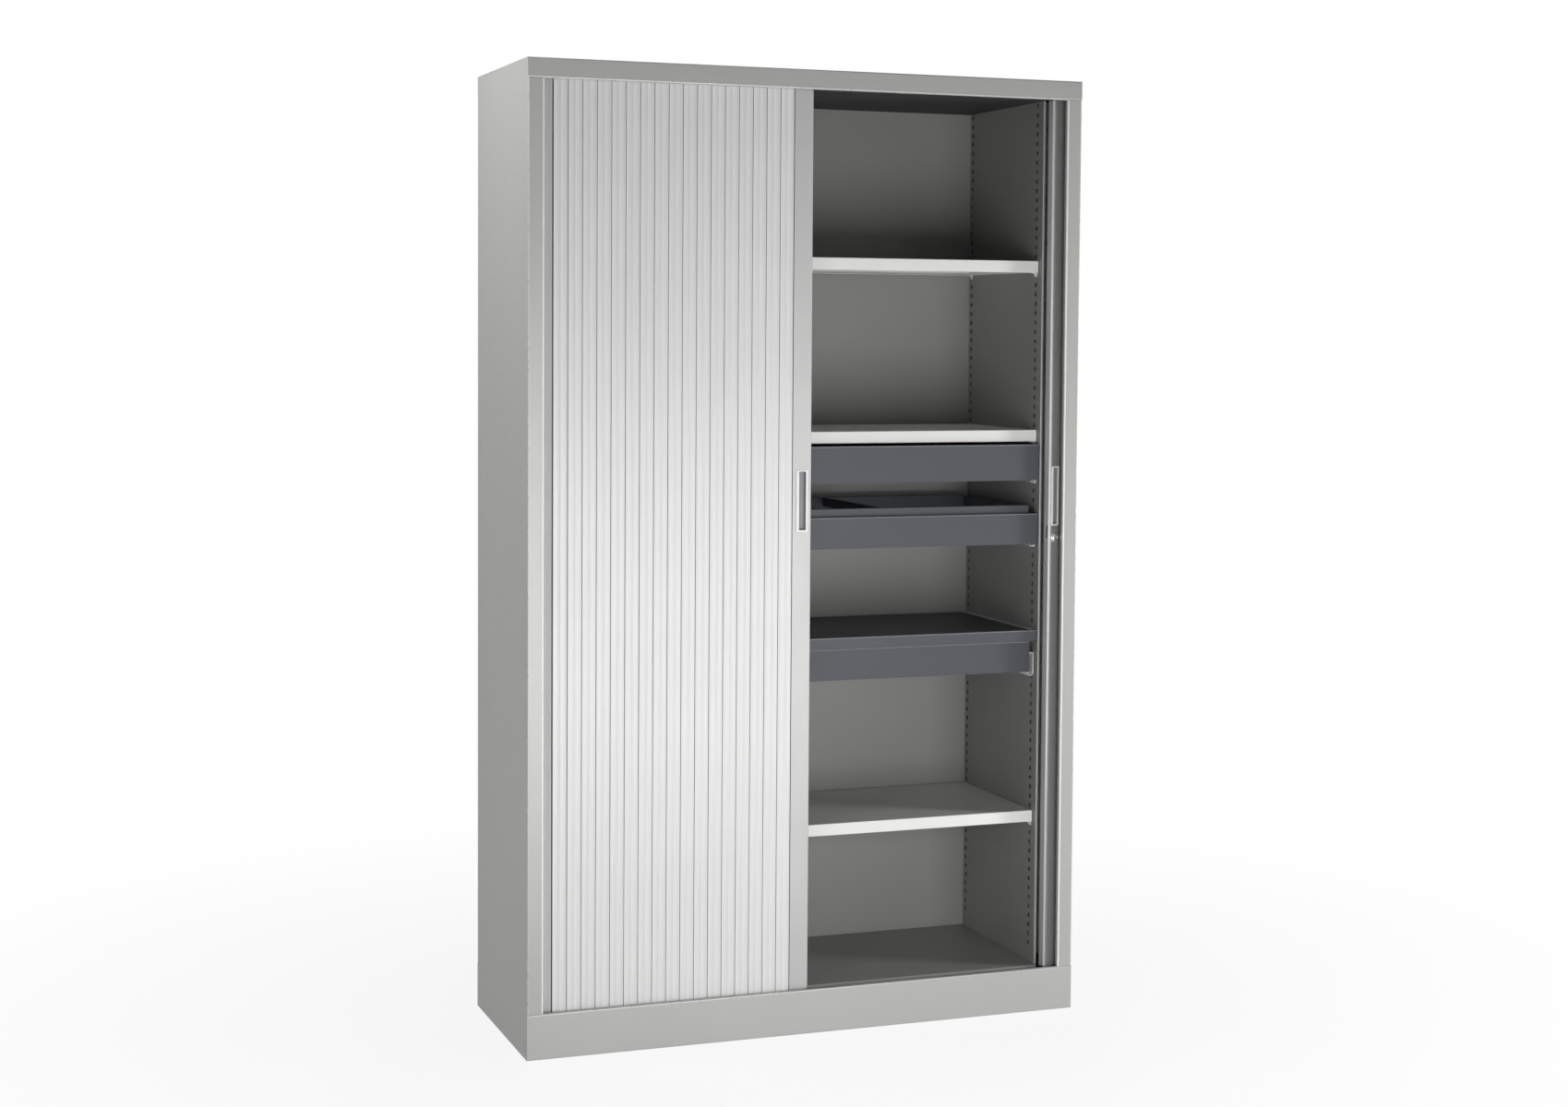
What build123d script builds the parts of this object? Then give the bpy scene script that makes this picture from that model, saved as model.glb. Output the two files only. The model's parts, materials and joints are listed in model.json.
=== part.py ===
from build123d import *
from math import acos, asin, atan2, ceil, cos, degrees, floor, hypot, pi, radians, sin, sqrt

# A free-standing steel cupboard with two side-opening tambour shutters. Each shutter runs in a
# track round the front corner, along the side and round the rear corner behind the inner back.
# Millimetres, +X to the right, +Y to the rear, +Z up, origin under the middle of the cupboard.
# At rest the left shutter is closed and the right one is open.

# Overall size
WIDTH = 1200.0
DEPTH = 430.0
HEIGHT = 1980.0

# Sheet steel
CARCASS_SHEET = 1.2
FITTING_SHEET = 1.0
CORNER_BEND = 3.0  # outer radius of the side panels' front corners
SEAT = 0.2  # gap left where one piece rests on another

# Front frame
RAIL_HEIGHT = 40.0
PLINTH_HEIGHT = 92.0
FRAME_RETURN = 8.0  # fold behind the rail's lower and the plinth's upper edge
FOOT_RETURN = 12.0  # fold behind the plinth's and the outer back's lower edge
FLANGE_WIDTH = 33.0
FLANGE_LIP = 11.0
REAR_FLANGE = 15.0

# Path of the shutters' hinge line, as distances in from the outer faces
LANE_FRONT = 19.5
LANE_SIDE = 10.0
LANE_REAR = 11.0
LANE_RADIUS = 56.0

# Tracks
GROOVE_OUTER = 6.3  # from the hinge line to the groove's outer wall
GROOVE_INNER = 5.3
GROOVE_DEPTH = 10.0
TRACK_WALL = 1.8  # least wall between the groove and the track's edge
TRACK_FLOOR = 2.0
TRACK_RECESS = 6.0  # from the plinth's upper edge down to the track's mouth
TRACK_END = 12.0  # track beyond the last stored slat

# Slats
SLAT_PITCH = 29.6
SLAT_GAP = 1.0
SLAT_EDGE = 5.3  # front of the slat at its edges and middle ridge, ahead of the hinge line
SLAT_FLUTE = 4.4  # and at the bottom of the two shallow flutes between them
SLAT_WALL = 1.2
SLAT_INTO_TRACK = 8.0
CORNER_SLATS = 1  # slats past the corner's start when a shutter is closed
BEAD_RADIUS = 1.2
BEAD_CLEARANCE = 0.3
NECK = 1.0
LEG_OFFSET = 3.4  # leg that carries the bead, from the hinge line
JAW_WALL = 1.2
LIP_DEPTH = 0.5
LIP_REACH = 0.9
LIP_HEIGHT = 0.85  # lip that keeps the bead in, ahead of the hinge line
LOWER_JAW = 0.9

# Stiles
STILE_WIDTH = 40.5
STILE_THICKNESS = 13.3
STILE_AHEAD = 6.5  # stile's front face ahead of the hinge line
STILE_WALL = 1.6
STILE_ROUND = 2.5
STILE_BOX = 33.0  # depth of the box section, from the closing edge
STILE_END_GAP = 1.0
STILE_OVERLAP = 4.0  # front wall carried on behind the plinth's and rail's edges
CENTRE_GAP = 2.0  # between the closed stiles
PIVOT_INSET = 6.0
OPEN_PIVOT_PAST_CORNER = 7.7  # open stile's pivot beyond the start of the corner

# Guide shoes and end caps
SHOE_BEFORE_PIVOT = 5.5
SHOE_PAST_PIVOT = 7.0
SHOE_THICKNESS = 7.0
SHOE_LIFT = 0.3
SHOE_BELOW_MOUTH = 0.5
PIN_DIAMETER = 5.0
PIN_CLEARANCE = 0.05
PIN_IN_CAP = 10.0
CAP_LENGTH = 15.0
CAP_CLEARANCE = 0.3

# Flush handles
HANDLE_ABOVE_LOCK = 88.9  # from the lock's middle up to the handle's
HANDLE_LENGTH = 127.0
HANDLE_WIDTH = 24.6
HANDLE_PROUD = 1.8
HANDLE_BORDER_SIDE = 4.8
HANDLE_BORDER_END = 3.5
HANDLE_BODY_MARGIN = 2.0
HANDLE_BODY_DEPTH = 9.5
HANDLE_FLOOR = 1.2
HANDLE_ROUND = 2.0  # corners of the bezel
HANDLE_CLEARANCE = 0.3

# Lock
LOCK_HEIGHT = 1014.6
LOCK_INSET = 18.5  # from the stile's closing edge
LOCK_FLANGE_DIAMETER = 18.0
LOCK_PROUD = 1.8
LOCK_BODY_WIDTH = 13.0
LOCK_BODY_HEIGHT = 15.0
LOCK_BODY_DEPTH = 4.6
LOCK_CLEARANCE = 0.2
PLUG_DIAMETER = 11.0
PLUG_CLEARANCE = 0.05
KEYWAY_WIDTH = 1.6
KEYWAY_LENGTH = 7.0
KEYWAY_DEPTH = 3.0
HOOK_FACE = 5.0  # front of the hook behind the stile's front face
HOOK_THICKNESS = 2.4
HOOK_WIDTH = 8.0
HOOK_TAIL = 5.0  # hook's end beyond its axis
HOOK_REACH = 26.5
HOOK_NOTCH = 3.0
HOOK_NOTCH_LENGTH = 3.4
HOOK_CLAW = 2.9
SLOT_CLEARANCE = 0.8
STRIKE_SHEET = 1.0
STRIKE_MARGIN = 8.0

# Interior
SIDE_CAVITY = 70.0  # from a side panel's outer face to the liner's inner face
LINER_FRONT = 38.5
LINER_RETURN = 10.0
BACK_CAVITY = 18.5  # from the inner back's rear face to the rear of the cupboard
BASE_FRONT = 30.5

# Slots for the fittings
SLOT_PITCH = 20.0
SLOT_WIDTH = 7.0
SLOT_HEIGHT = 8.0
FIRST_SLOT = 40.0  # above the floor
SLOT_END_MARGIN = 7.0
FRONT_COLUMN = 68.0  # slots' distance from the front face
REAR_COLUMN = 34.0  # and from the rear face

# Shelves
SHELF_ROWS = {"lower_shelf": 13, "middle_shelf": 54, "upper_shelf": 72}
SHELF_FRONT = 55.0
SHELF_HEIGHT = 25.0
SHELF_ABOVE_SLOT = 6.0
SHELF_SIDE_GAP = 1.2
SHELF_REAR_GAP = 6.0
SHELF_RETURN = 12.0
CLIP_WIDTH = 12.0
CLIP_SHEET = 1.5
CLIP_LEDGE = 10.0
CLIP_DROP = 8.5
TONGUE_WIDTH = 6.2
TONGUE_HEIGHT = 5.0
TONGUE_REACH = 4.0

# Pull-outs
FASCIA_FRONT = 38.5
PULL_OUT_REAR = 39.5  # from a pull-out's back to the rear of the cupboard
FASCIA_SIDE_GAP = 2.0
FASCIA_RETURN = 12.0
RUNNER_SPACE = 17.0  # between a pull-out's body and the liner
TRAY_ROW = 52
TRAY_ABOVE_SLOT = 40.5
TRAY_FASCIA = 76.5
TRAY_SIDE = 64.0
TRAY_FLOOR_ABOVE_FASCIA = 4.0  # from the fascia's lower edge up to the drawer's
FRAME_FASCIA = 65.5
FRAME_WALL = 1.5
UPPER_FRAME_ROW = 45
UPPER_FRAME_ABOVE_SLOT = 33.0
UPPER_FRAME_SET_BACK = 3.5
UPPER_FRAME_RISE = 17.5  # of the frame above its front
LOWER_FRAME_ROW = 31
LOWER_FRAME_ABOVE_SLOT = 37.0
LOWER_FRAME_SET_BACK = 16.5
FRAME_DROP = 28.0  # frame's lower edge below the slot it hangs from
FRAME_BEHIND = 14.0  # from the front of a filing frame's fascia to its first cross rail
FRAME_FLANGE = 10.0
FILE_BAYS = 3
FILE_RAIL_HEIGHT = 20.0
REFERENCE_ROW = 34
REFERENCE_ABOVE_SLOT = 3.0
REFERENCE_EDGE = 24.0

# Runners: a fixed one with a rounded lower lip, and one on the pull-out nested in it
RUNNER_HEIGHT = 50.0
RUNNER_BELOW_SLOT = 38.0
SMALL_RUNNER_HEIGHT = 20.0
SMALL_RUNNER_BELOW_SLOT = 17.0
RUNNER_REAR = 30.0  # from a fixed runner's end to the rear of the cupboard
RUNNER_SET_BACK = 4.0
RUNNER_SHEET = 1.2
RUNNER_LIP = 13.0
RUNNER_CHAMFER = 4.0
RUNNER_NEST = 7.0
RUNNER_NEST_RISE = 6.0

# Stiffeners under the floor
STIFFENER_WIDTH = 40.0
STIFFENER_FLANGE = 12.0
STIFFENER_DEPTH = 14.0

# Places worked out from the sizes above
front = -DEPTH / 2
rear = DEPTH / 2
half_width = WIDTH / 2
half_clear = half_width - SIDE_CAVITY
rail_bottom = HEIGHT - RAIL_HEIGHT
middle_height = (PLINTH_HEIGHT + rail_bottom) / 2
inner_side = half_width - CARCASS_SHEET
inner_rear = rear - CARCASS_SHEET
wall_front = front + CARCASS_SHEET + SEAT
wall_top = HEIGHT - CARCASS_SHEET - SEAT
frame_half = inner_side - SEAT  # half the width of what lies between the side panels
back_skin_rear = inner_rear - SEAT
back_skin_front = back_skin_rear - CARCASS_SHEET
inner_back_rear = rear - BACK_CAVITY
inner_back_front = inner_back_rear - FITTING_SHEET
lane_front_y = front + LANE_FRONT
lane_side_x = half_width - LANE_SIDE
lane_rear_y = rear - LANE_REAR
arc_x = lane_side_x - LANE_RADIUS
front_arc_y = lane_front_y + LANE_RADIUS
rear_arc_y = lane_rear_y - LANE_RADIUS
arc_length = LANE_RADIUS * pi / 2
side_run = rear_arc_y - front_arc_y
track_mouth = PLINTH_HEIGHT - TRACK_RECESS
groove_floor = track_mouth - GROOVE_DEPTH
track_bottom = groove_floor - TRACK_FLOOR
ledge_top = track_bottom - SEAT
slat_bottom = track_mouth - SLAT_INTO_TRACK
slat_length = 2 * (middle_height - slat_bottom)
hinge_offset = STILE_WIDTH + SLAT_GAP / 2  # stile's trailing hinge, from its closing edge
hinge_arm = hinge_offset - PIVOT_INSET
closed_pivot_x = CENTRE_GAP / 2 + PIVOT_INSET
open_pivot_x = arc_x + OPEN_PIVOT_PAST_CORNER
closed_hinge = CENTRE_GAP / 2 + hinge_offset
slat_count = ceil((arc_x - closed_hinge) / SLAT_PITCH) + CORNER_SLATS
first_slot_height = PLINTH_HEIGHT + FIRST_SLOT
slot_rows = 1 + floor((rail_bottom - SLOT_END_MARGIN - first_slot_height) / SLOT_PITCH)
stile_bottom = PLINTH_HEIGHT + STILE_END_GAP
stile_length = 2 * (middle_height - stile_bottom)
body_half = half_clear - RUNNER_SPACE
handle_height = LOCK_HEIGHT + HANDLE_ABOVE_LOCK
rear_slots = rear - REAR_COLUMN
front_slots = front + FRONT_COLUMN


def slot_height(row):
    """Height of the middle of the slots in a row."""
    return first_slot_height + row * SLOT_PITCH


def open_tilt():
    """Tilt in degrees at which the open stile's trailing hinge lies on the corner's arc."""
    to_centre = hypot(arc_x - open_pivot_x, LANE_RADIUS)
    bearing = atan2(LANE_RADIUS, arc_x - open_pivot_x)
    inside = (to_centre**2 + hinge_arm**2 - LANE_RADIUS**2) / (2 * to_centre * hinge_arm)
    return degrees(bearing - acos(inside))


def lane_point(distance):
    """Point of the right-hand lane at a distance from the middle of the front."""
    if distance <= arc_x:
        return distance, lane_front_y
    distance -= arc_x
    if distance <= arc_length:
        turn = distance / LANE_RADIUS
        return arc_x + LANE_RADIUS * sin(turn), front_arc_y - LANE_RADIUS * cos(turn)
    distance -= arc_length
    if distance <= side_run:
        return lane_side_x, front_arc_y + distance
    distance -= side_run
    if distance <= arc_length:
        turn = distance / LANE_RADIUS
        return arc_x + LANE_RADIUS * cos(turn), rear_arc_y + LANE_RADIUS * sin(turn)
    return arc_x - (distance - arc_length), lane_rear_y


def hinge_stations(distance):
    """Distances along the lane of a curtain's hinges, each a straight pitch from the last."""
    stations = [distance]
    for _ in range(slat_count):
        here = lane_point(distance)
        step = SLAT_PITCH
        for _ in range(12):
            there = lane_point(distance + step)
            step += SLAT_PITCH - hypot(there[0] - here[0], there[1] - here[1])
        distance += step
        stations.append(distance)
    return stations


tilt = open_tilt()
open_hinge_x = open_pivot_x + hinge_arm * cos(radians(tilt))
open_hinge = arc_x + LANE_RADIUS * asin((open_hinge_x - arc_x) / LANE_RADIUS)
closed_stations = hinge_stations(closed_hinge)
stored_stations = hinge_stations(open_hinge)
rear_run = stored_stations[-1] - arc_x - side_run - 2 * arc_length + TRACK_END

# A stile's own frame: origin at its pivot, x from closing to trailing edge, y to the rear
closed_pose = Plane(origin=(closed_pivot_x, lane_front_y, 0), x_dir=(1, 0, 0), z_dir=(0, 0, 1))
open_pose = Plane(
    origin=(open_pivot_x, lane_front_y, 0),
    x_dir=(cos(radians(tilt)), sin(radians(tilt)), 0),
    z_dir=(0, 0, 1),
)
open_carriage = Plane(origin=(open_pivot_x, lane_front_y, 0), x_dir=(1, 0, 0), z_dir=(0, 0, 1))
stile_front = -STILE_AHEAD
stile_rear = STILE_THICKNESS - STILE_AHEAD
closing_edge = -PIVOT_INSET
box_end = STILE_BOX - PIVOT_INSET
lock_x = LOCK_INSET - PIVOT_INSET
handle_x = STILE_WIDTH / 2 - PIVOT_INSET
middle_plane = Plane.XY.offset(middle_height)


def save(part, name):
    """Label a finished piece and write it."""
    part.label = name
    export_step(part, f"parts/{name}.step")


def left_hand(part):
    """The mirror image of a right-hand piece."""
    with BuildPart() as other:
        mirror(part, about=Plane.YZ)
    return other.part


def upper(part):
    """The image of a bottom piece at the top of the shutters."""
    with BuildPart() as other:
        mirror(part, about=middle_plane)
    return other.part


def box_between(low, high, mode=Mode.ADD):
    """A box between two corners, in the part that is being built."""
    with Locations(tuple((a + b) / 2 for a, b in zip(low, high))):
        Box(*(b - a for a, b in zip(low, high)), mode=mode)


def fold(outline, sheet, side):
    """A folded sheet's section, with its thickness to one side of an open outline."""
    with BuildLine() as section:
        Polyline(*outline)
        offset(amount=sheet, kind=Kind.INTERSECTION, side=side)
    make_face(section.edges())


# Side panel: a wall with a front flange, its lip and a rear flange
with BuildPart() as right_side_panel:
    with BuildSketch(Plane.XY.offset(PLINTH_HEIGHT + SEAT)):
        fold(
            [
                (half_width - REAR_FLANGE, rear),
                (half_width, rear),
                (half_width, front),
                (half_width - FLANGE_WIDTH, front),
                (half_width - FLANGE_WIDTH, front + FLANGE_LIP),
            ],
            CARCASS_SHEET,
            Side.RIGHT,
        )
    extrude(amount=rail_bottom - PLINTH_HEIGHT - 2 * SEAT)
    uprights = right_side_panel.edges().filter_by(Axis.Z)
    outer_corner = uprights.sort_by_distance((half_width, front, middle_height))[0]
    inner_corner = uprights.sort_by_distance(
        (inner_side, front + CARCASS_SHEET, middle_height)
    )[0]
    fillet(outer_corner, radius=CORNER_BEND)
    fillet(inner_corner, radius=CORNER_BEND - CARCASS_SHEET)
    box_between((inner_side, wall_front, 0), (half_width, inner_rear, PLINTH_HEIGHT + SEAT))
    box_between(
        (half_width - REAR_FLANGE, inner_rear, 0), (half_width, rear, PLINTH_HEIGHT + SEAT)
    )
    box_between(
        (inner_side, wall_front, rail_bottom - SEAT), (half_width, inner_rear - SEAT, wall_top)
    )
save(right_side_panel.part, "right_side_panel")
save(left_hand(right_side_panel.part), "left_side_panel")

# Top panel with the front rail and a rear fold
with BuildPart() as top_panel:
    with BuildSketch(Plane.YZ.offset(-half_width)):
        fold(
            [(front, rail_bottom), (front, HEIGHT), (rear, HEIGHT), (rear, rail_bottom)],
            CARCASS_SHEET,
            Side.RIGHT,
        )
    extrude(amount=WIDTH)
    box_between(
        (-frame_half, front, rail_bottom),
        (frame_half, front + FRAME_RETURN, rail_bottom + CARCASS_SHEET),
    )
save(top_panel.part, "top_panel")

# Plinth with an upper and a lower return
with BuildPart() as plinth:
    box_between((-half_width, front, 0), (half_width, front + CARCASS_SHEET, PLINTH_HEIGHT))
    box_between(
        (-frame_half, front, PLINTH_HEIGHT - CARCASS_SHEET),
        (frame_half, front + FRAME_RETURN, PLINTH_HEIGHT),
    )
    box_between((-frame_half, front, 0), (frame_half, front + FOOT_RETURN, CARCASS_SHEET))
save(plinth.part, "plinth")

# Outer back, inside the rear flanges, with a lower return
with BuildPart() as outer_back:
    with BuildSketch(Plane.YZ.offset(-frame_half)):
        fold(
            [(back_skin_rear, wall_top), (back_skin_rear, 0), (back_skin_rear - FOOT_RETURN, 0)],
            CARCASS_SHEET,
            Side.RIGHT,
        )
    extrude(amount=2 * frame_half)
save(outer_back.part, "outer_back")

# Inner back, between the fittings and the shutters' rear run
with BuildPart() as inner_back:
    box_between(
        (-half_clear - LINER_RETURN, inner_back_front, PLINTH_HEIGHT + SEAT),
        (half_clear + LINER_RETURN, inner_back_rear, rail_bottom - SEAT),
    )
save(inner_back.part, "inner_back")

# Base: a floor raised above the ledge that carries the tracks all round
step_half = half_clear + FITTING_SHEET
step_front = front + BASE_FRONT
ledge_bottom = ledge_top - CARCASS_SHEET
with BuildPart() as base_panel:
    box_between(
        (-frame_half, wall_front, ledge_bottom), (frame_half, back_skin_front - SEAT, ledge_top)
    )
    box_between((-step_half, step_front, ledge_bottom), (step_half, inner_back_rear, PLINTH_HEIGHT))
    box_between(
        (-step_half + CARCASS_SHEET, step_front + CARCASS_SHEET, ledge_bottom),
        (
            step_half - CARCASS_SHEET,
            inner_back_rear - CARCASS_SHEET,
            PLINTH_HEIGHT - CARCASS_SHEET,
        ),
        mode=Mode.SUBTRACT,
    )
save(base_panel.part, "base_panel")
save(upper(base_panel.part), "ceiling_panel")


# Tracks: a moulded plate with the groove, at each end of each shutter
step_side = step_half + SEAT
step_rear = inner_back_rear + SEAT
track_front = lane_front_y - GROOVE_OUTER - TRACK_WALL
track_side = lane_side_x + GROOVE_OUTER + TRACK_WALL
track_rear = lane_rear_y + GROOVE_OUTER + TRACK_WALL
groove_end = arc_x - rear_run
with BuildPart() as lower_right_track:
    with BuildSketch(Plane.XY.offset(track_bottom)):
        with BuildLine():
            Polyline(
                (SEAT, track_front),
                (track_side, track_front),
                (track_side, track_rear),
                (groove_end - TRACK_WALL, track_rear),
                (groove_end - TRACK_WALL, step_rear),
                (step_side, step_rear),
                (step_side, step_front - SEAT),
                (SEAT, step_front - SEAT),
                close=True,
            )
        make_face()
    extrude(amount=track_mouth - track_bottom)
    with BuildSketch(Plane.XY.offset(groove_floor)):
        with BuildLine():
            outer_side = lane_side_x + GROOVE_OUTER
            inner_lane = lane_side_x - GROOVE_INNER
            outer_front = lane_front_y - GROOVE_OUTER
            inner_front = lane_front_y + GROOVE_INNER
            outer_rear = lane_rear_y + GROOVE_OUTER
            inner_rear_lane = lane_rear_y - GROOVE_INNER
            Line((SEAT, outer_front), (arc_x, outer_front))
            CenterArc((arc_x, front_arc_y), LANE_RADIUS + GROOVE_OUTER, -90, 90)
            Line((outer_side, front_arc_y), (outer_side, rear_arc_y))
            CenterArc((arc_x, rear_arc_y), LANE_RADIUS + GROOVE_OUTER, 0, 90)
            Line((arc_x, outer_rear), (groove_end, outer_rear))
            Line((groove_end, outer_rear), (groove_end, inner_rear_lane))
            Line((groove_end, inner_rear_lane), (arc_x, inner_rear_lane))
            CenterArc((arc_x, rear_arc_y), LANE_RADIUS - GROOVE_INNER, 0, 90)
            Line((inner_lane, rear_arc_y), (inner_lane, front_arc_y))
            CenterArc((arc_x, front_arc_y), LANE_RADIUS - GROOVE_INNER, -90, 90)
            Line((arc_x, inner_front), (SEAT, inner_front))
            Line((SEAT, inner_front), (SEAT, outer_front))
        make_face()
    extrude(amount=GROOVE_DEPTH, mode=Mode.SUBTRACT)
lower_left_track = left_hand(lower_right_track.part)
save(lower_right_track.part, "lower_right_track")
save(lower_left_track, "lower_left_track")
save(upper(lower_right_track.part), "upper_right_track")
save(upper(lower_left_track), "upper_left_track")

# Liner: the slotted wall between the interior and the shutter's side run
liner_length = rail_bottom - PLINTH_HEIGHT - 2 * SEAT
liner_rear = inner_back_front - SEAT
rows_in_use = {
    *SHELF_ROWS.values(),
    TRAY_ROW,
    UPPER_FRAME_ROW,
    LOWER_FRAME_ROW,
    REFERENCE_ROW,
}
slot_middles = [(front_slots, slot_height(row)) for row in range(slot_rows)]
slot_middles += [(rear_slots, slot_height(row)) for row in sorted(rows_in_use)]
with BuildPart() as right_liner:
    with BuildSketch(Plane.XY.offset(PLINTH_HEIGHT + SEAT)):
        fold(
            [
                (half_clear + LINER_RETURN, front + LINER_FRONT),
                (half_clear, front + LINER_FRONT),
                (half_clear, liner_rear),
                (half_clear + LINER_RETURN, liner_rear),
            ],
            FITTING_SHEET,
            Side.RIGHT,
        )
    extrude(amount=liner_length)
    with BuildSketch(Plane.YZ.offset(half_clear)):
        with Locations(*slot_middles):
            Rectangle(SLOT_WIDTH, SLOT_HEIGHT)
    extrude(amount=FITTING_SHEET, mode=Mode.SUBTRACT)
save(right_liner.part, "right_liner")
save(left_hand(right_liner.part), "left_liner")

# Shelf: a sheet with its front and rear edges folded down and under, and folded sides
shelf_half = half_clear - SHELF_SIDE_GAP
shelf_front = front + SHELF_FRONT
shelf_rear = inner_back_front - SHELF_REAR_GAP
for shelf_name, row in SHELF_ROWS.items():
    shelf_bottom = slot_height(row) + SHELF_ABOVE_SLOT
    shelf_top = shelf_bottom + SHELF_HEIGHT
    with BuildPart() as shelf:
        with BuildSketch(Plane.YZ.offset(-shelf_half)):
            fold(
                [
                    (shelf_front + SHELF_RETURN, shelf_bottom),
                    (shelf_front, shelf_bottom),
                    (shelf_front, shelf_top),
                    (shelf_rear, shelf_top),
                    (shelf_rear, shelf_bottom),
                    (shelf_rear - SHELF_RETURN, shelf_bottom),
                ],
                FITTING_SHEET,
                Side.RIGHT,
            )
        extrude(amount=2 * shelf_half)
        for side in (-shelf_half, shelf_half - FITTING_SHEET):
            box_between(
                (side, shelf_front, shelf_bottom), (side + FITTING_SHEET, shelf_rear, shelf_top)
            )
    save(shelf.part, shelf_name)

# Shelf clips: a plate on the liner with a ledge under the shelf and a tongue in a slot
with BuildPart() as shelf_clips:
    for row in SHELF_ROWS.values():
        slot = slot_height(row)
        ledge_height = slot + SHELF_ABOVE_SLOT - SEAT
        for middle in (front_slots, rear_slots):
            plate_face = half_clear - SEAT
            for hand in (-1, 1):
                corners = [
                    (plate_face - CLIP_SHEET, -CLIP_WIDTH / 2, ledge_height - CLIP_DROP),
                    (plate_face, CLIP_WIDTH / 2, ledge_height),
                    (plate_face - CLIP_LEDGE, -CLIP_WIDTH / 2, ledge_height - CLIP_SHEET),
                    (plate_face, CLIP_WIDTH / 2, ledge_height),
                    (plate_face - CLIP_SHEET, -TONGUE_WIDTH / 2, slot - TONGUE_HEIGHT / 2),
                    (plate_face + TONGUE_REACH, TONGUE_WIDTH / 2, slot + TONGUE_HEIGHT / 2),
                ]
                for low, high in zip(corners[::2], corners[1::2]):
                    xs = sorted((hand * low[0], hand * high[0]))
                    box_between(
                        (xs[0], middle + low[1], low[2]), (xs[1], middle + high[1], high[2])
                    )
save(shelf_clips.part, "shelf_clips")


def fascia(bottom, height, set_back=0):
    """A pull-out's front, with returns behind its upper and lower edges."""
    face = front + FASCIA_FRONT + set_back
    top = bottom + height
    with BuildSketch(Plane.YZ.offset(-fascia_half)) as section:
        fold([(face, bottom), (face, top), (face + FASCIA_RETURN, top)], FITTING_SHEET, Side.RIGHT)
    extrude(section.sketch, amount=2 * fascia_half)
    box_between(
        (-body_half, face, bottom), (body_half, face + FASCIA_RETURN, bottom + FITTING_SHEET)
    )


# Upper pull-out: a shallow drawer of welded sheets behind a deep front
pull_out_face = front + FASCIA_FRONT
pull_out_back = rear - PULL_OUT_REAR
fascia_half = half_clear - FASCIA_SIDE_GAP
tray_bottom = slot_height(TRAY_ROW) + TRAY_ABOVE_SLOT - TRAY_FASCIA
with BuildPart() as tray_front:
    fascia(tray_bottom, TRAY_FASCIA)
save(tray_front.part, "tray_front")

drawer_bottom = tray_bottom + TRAY_FLOOR_ABOVE_FASCIA
drawer_top = drawer_bottom + TRAY_SIDE
drawer_front = pull_out_face + FITTING_SHEET + SEAT
wall_bottom = drawer_bottom + FITTING_SHEET + SEAT
with BuildPart() as pull_out_tray:
    box_between(
        (-body_half, drawer_front, drawer_bottom),
        (body_half, pull_out_back, drawer_bottom + FITTING_SHEET),
    )
    for side in (-body_half, body_half - FITTING_SHEET):
        box_between(
            (side, drawer_front, wall_bottom), (side + FITTING_SHEET, pull_out_back, drawer_top)
        )
    back_half = body_half - FITTING_SHEET - SEAT
    box_between(
        (-back_half, pull_out_back - FITTING_SHEET, wall_bottom),
        (back_half, pull_out_back, drawer_top),
    )
save(pull_out_tray.part, "pull_out_tray")

# Reference shelf: a shallow pull-out over the lower filing frame, folded down all round
reference_top = slot_height(REFERENCE_ROW) + REFERENCE_ABOVE_SLOT
reference_bottom = reference_top - REFERENCE_EDGE
with BuildPart() as reference_shelf:
    box_between(
        (-body_half, pull_out_face, reference_bottom), (body_half, pull_out_back, reference_top)
    )
    box_between(
        (-body_half + FITTING_SHEET, pull_out_face, reference_bottom),
        (
            body_half - FITTING_SHEET,
            pull_out_back - FITTING_SHEET,
            reference_top - FITTING_SHEET,
        ),
        mode=Mode.SUBTRACT,
    )
    fascia(reference_bottom, REFERENCE_EDGE)
save(reference_shelf.part, "reference_shelf")


def filing_frame(slot, above_slot, set_back, rise):
    """An open pull-out frame, flanged at the top, with rails that carry hanging files."""
    face = pull_out_face + set_back
    cross = face + FRAME_BEHIND
    back = pull_out_back
    bottom = slot - FRAME_DROP
    fascia_top = slot + above_slot
    top = fascia_top + rise
    with BuildPart() as frame:
        box_between((-body_half, cross, bottom), (body_half, back, top))
        box_between(
            (-body_half + FRAME_WALL, cross + FRAME_WALL, bottom),
            (body_half - FRAME_WALL, back - FRAME_WALL, top - FRAME_WALL),
            mode=Mode.SUBTRACT,
        )
        box_between(
            (-body_half + FRAME_FLANGE, cross + FRAME_FLANGE, top - FRAME_WALL),
            (body_half - FRAME_FLANGE, back - FRAME_FLANGE, top),
            mode=Mode.SUBTRACT,
        )
        for side in (-body_half, body_half - FRAME_WALL):
            box_between((side, face, bottom), (side + FRAME_WALL, cross, fascia_top))
        for bay in range(1, FILE_BAYS):
            middle = body_half * (2 * bay / FILE_BAYS - 1)
            box_between(
                (middle - FRAME_WALL / 2, cross, top - FILE_RAIL_HEIGHT),
                (middle + FRAME_WALL / 2, back, top),
            )
            box_between(
                (middle - FRAME_FLANGE / 2, cross, top - FRAME_WALL),
                (middle + FRAME_FLANGE / 2, back, top),
            )
        fascia(fascia_top - FRAME_FASCIA, FRAME_FASCIA, set_back)
    return frame.part


upper_frame_slot = slot_height(UPPER_FRAME_ROW)
lower_frame_slot = slot_height(LOWER_FRAME_ROW)
save(
    filing_frame(
        upper_frame_slot, UPPER_FRAME_ABOVE_SLOT, UPPER_FRAME_SET_BACK, UPPER_FRAME_RISE
    ),
    "upper_filing_frame",
)
save(
    filing_frame(lower_frame_slot, LOWER_FRAME_ABOVE_SLOT, LOWER_FRAME_SET_BACK, 0),
    "lower_filing_frame",
)

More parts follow.
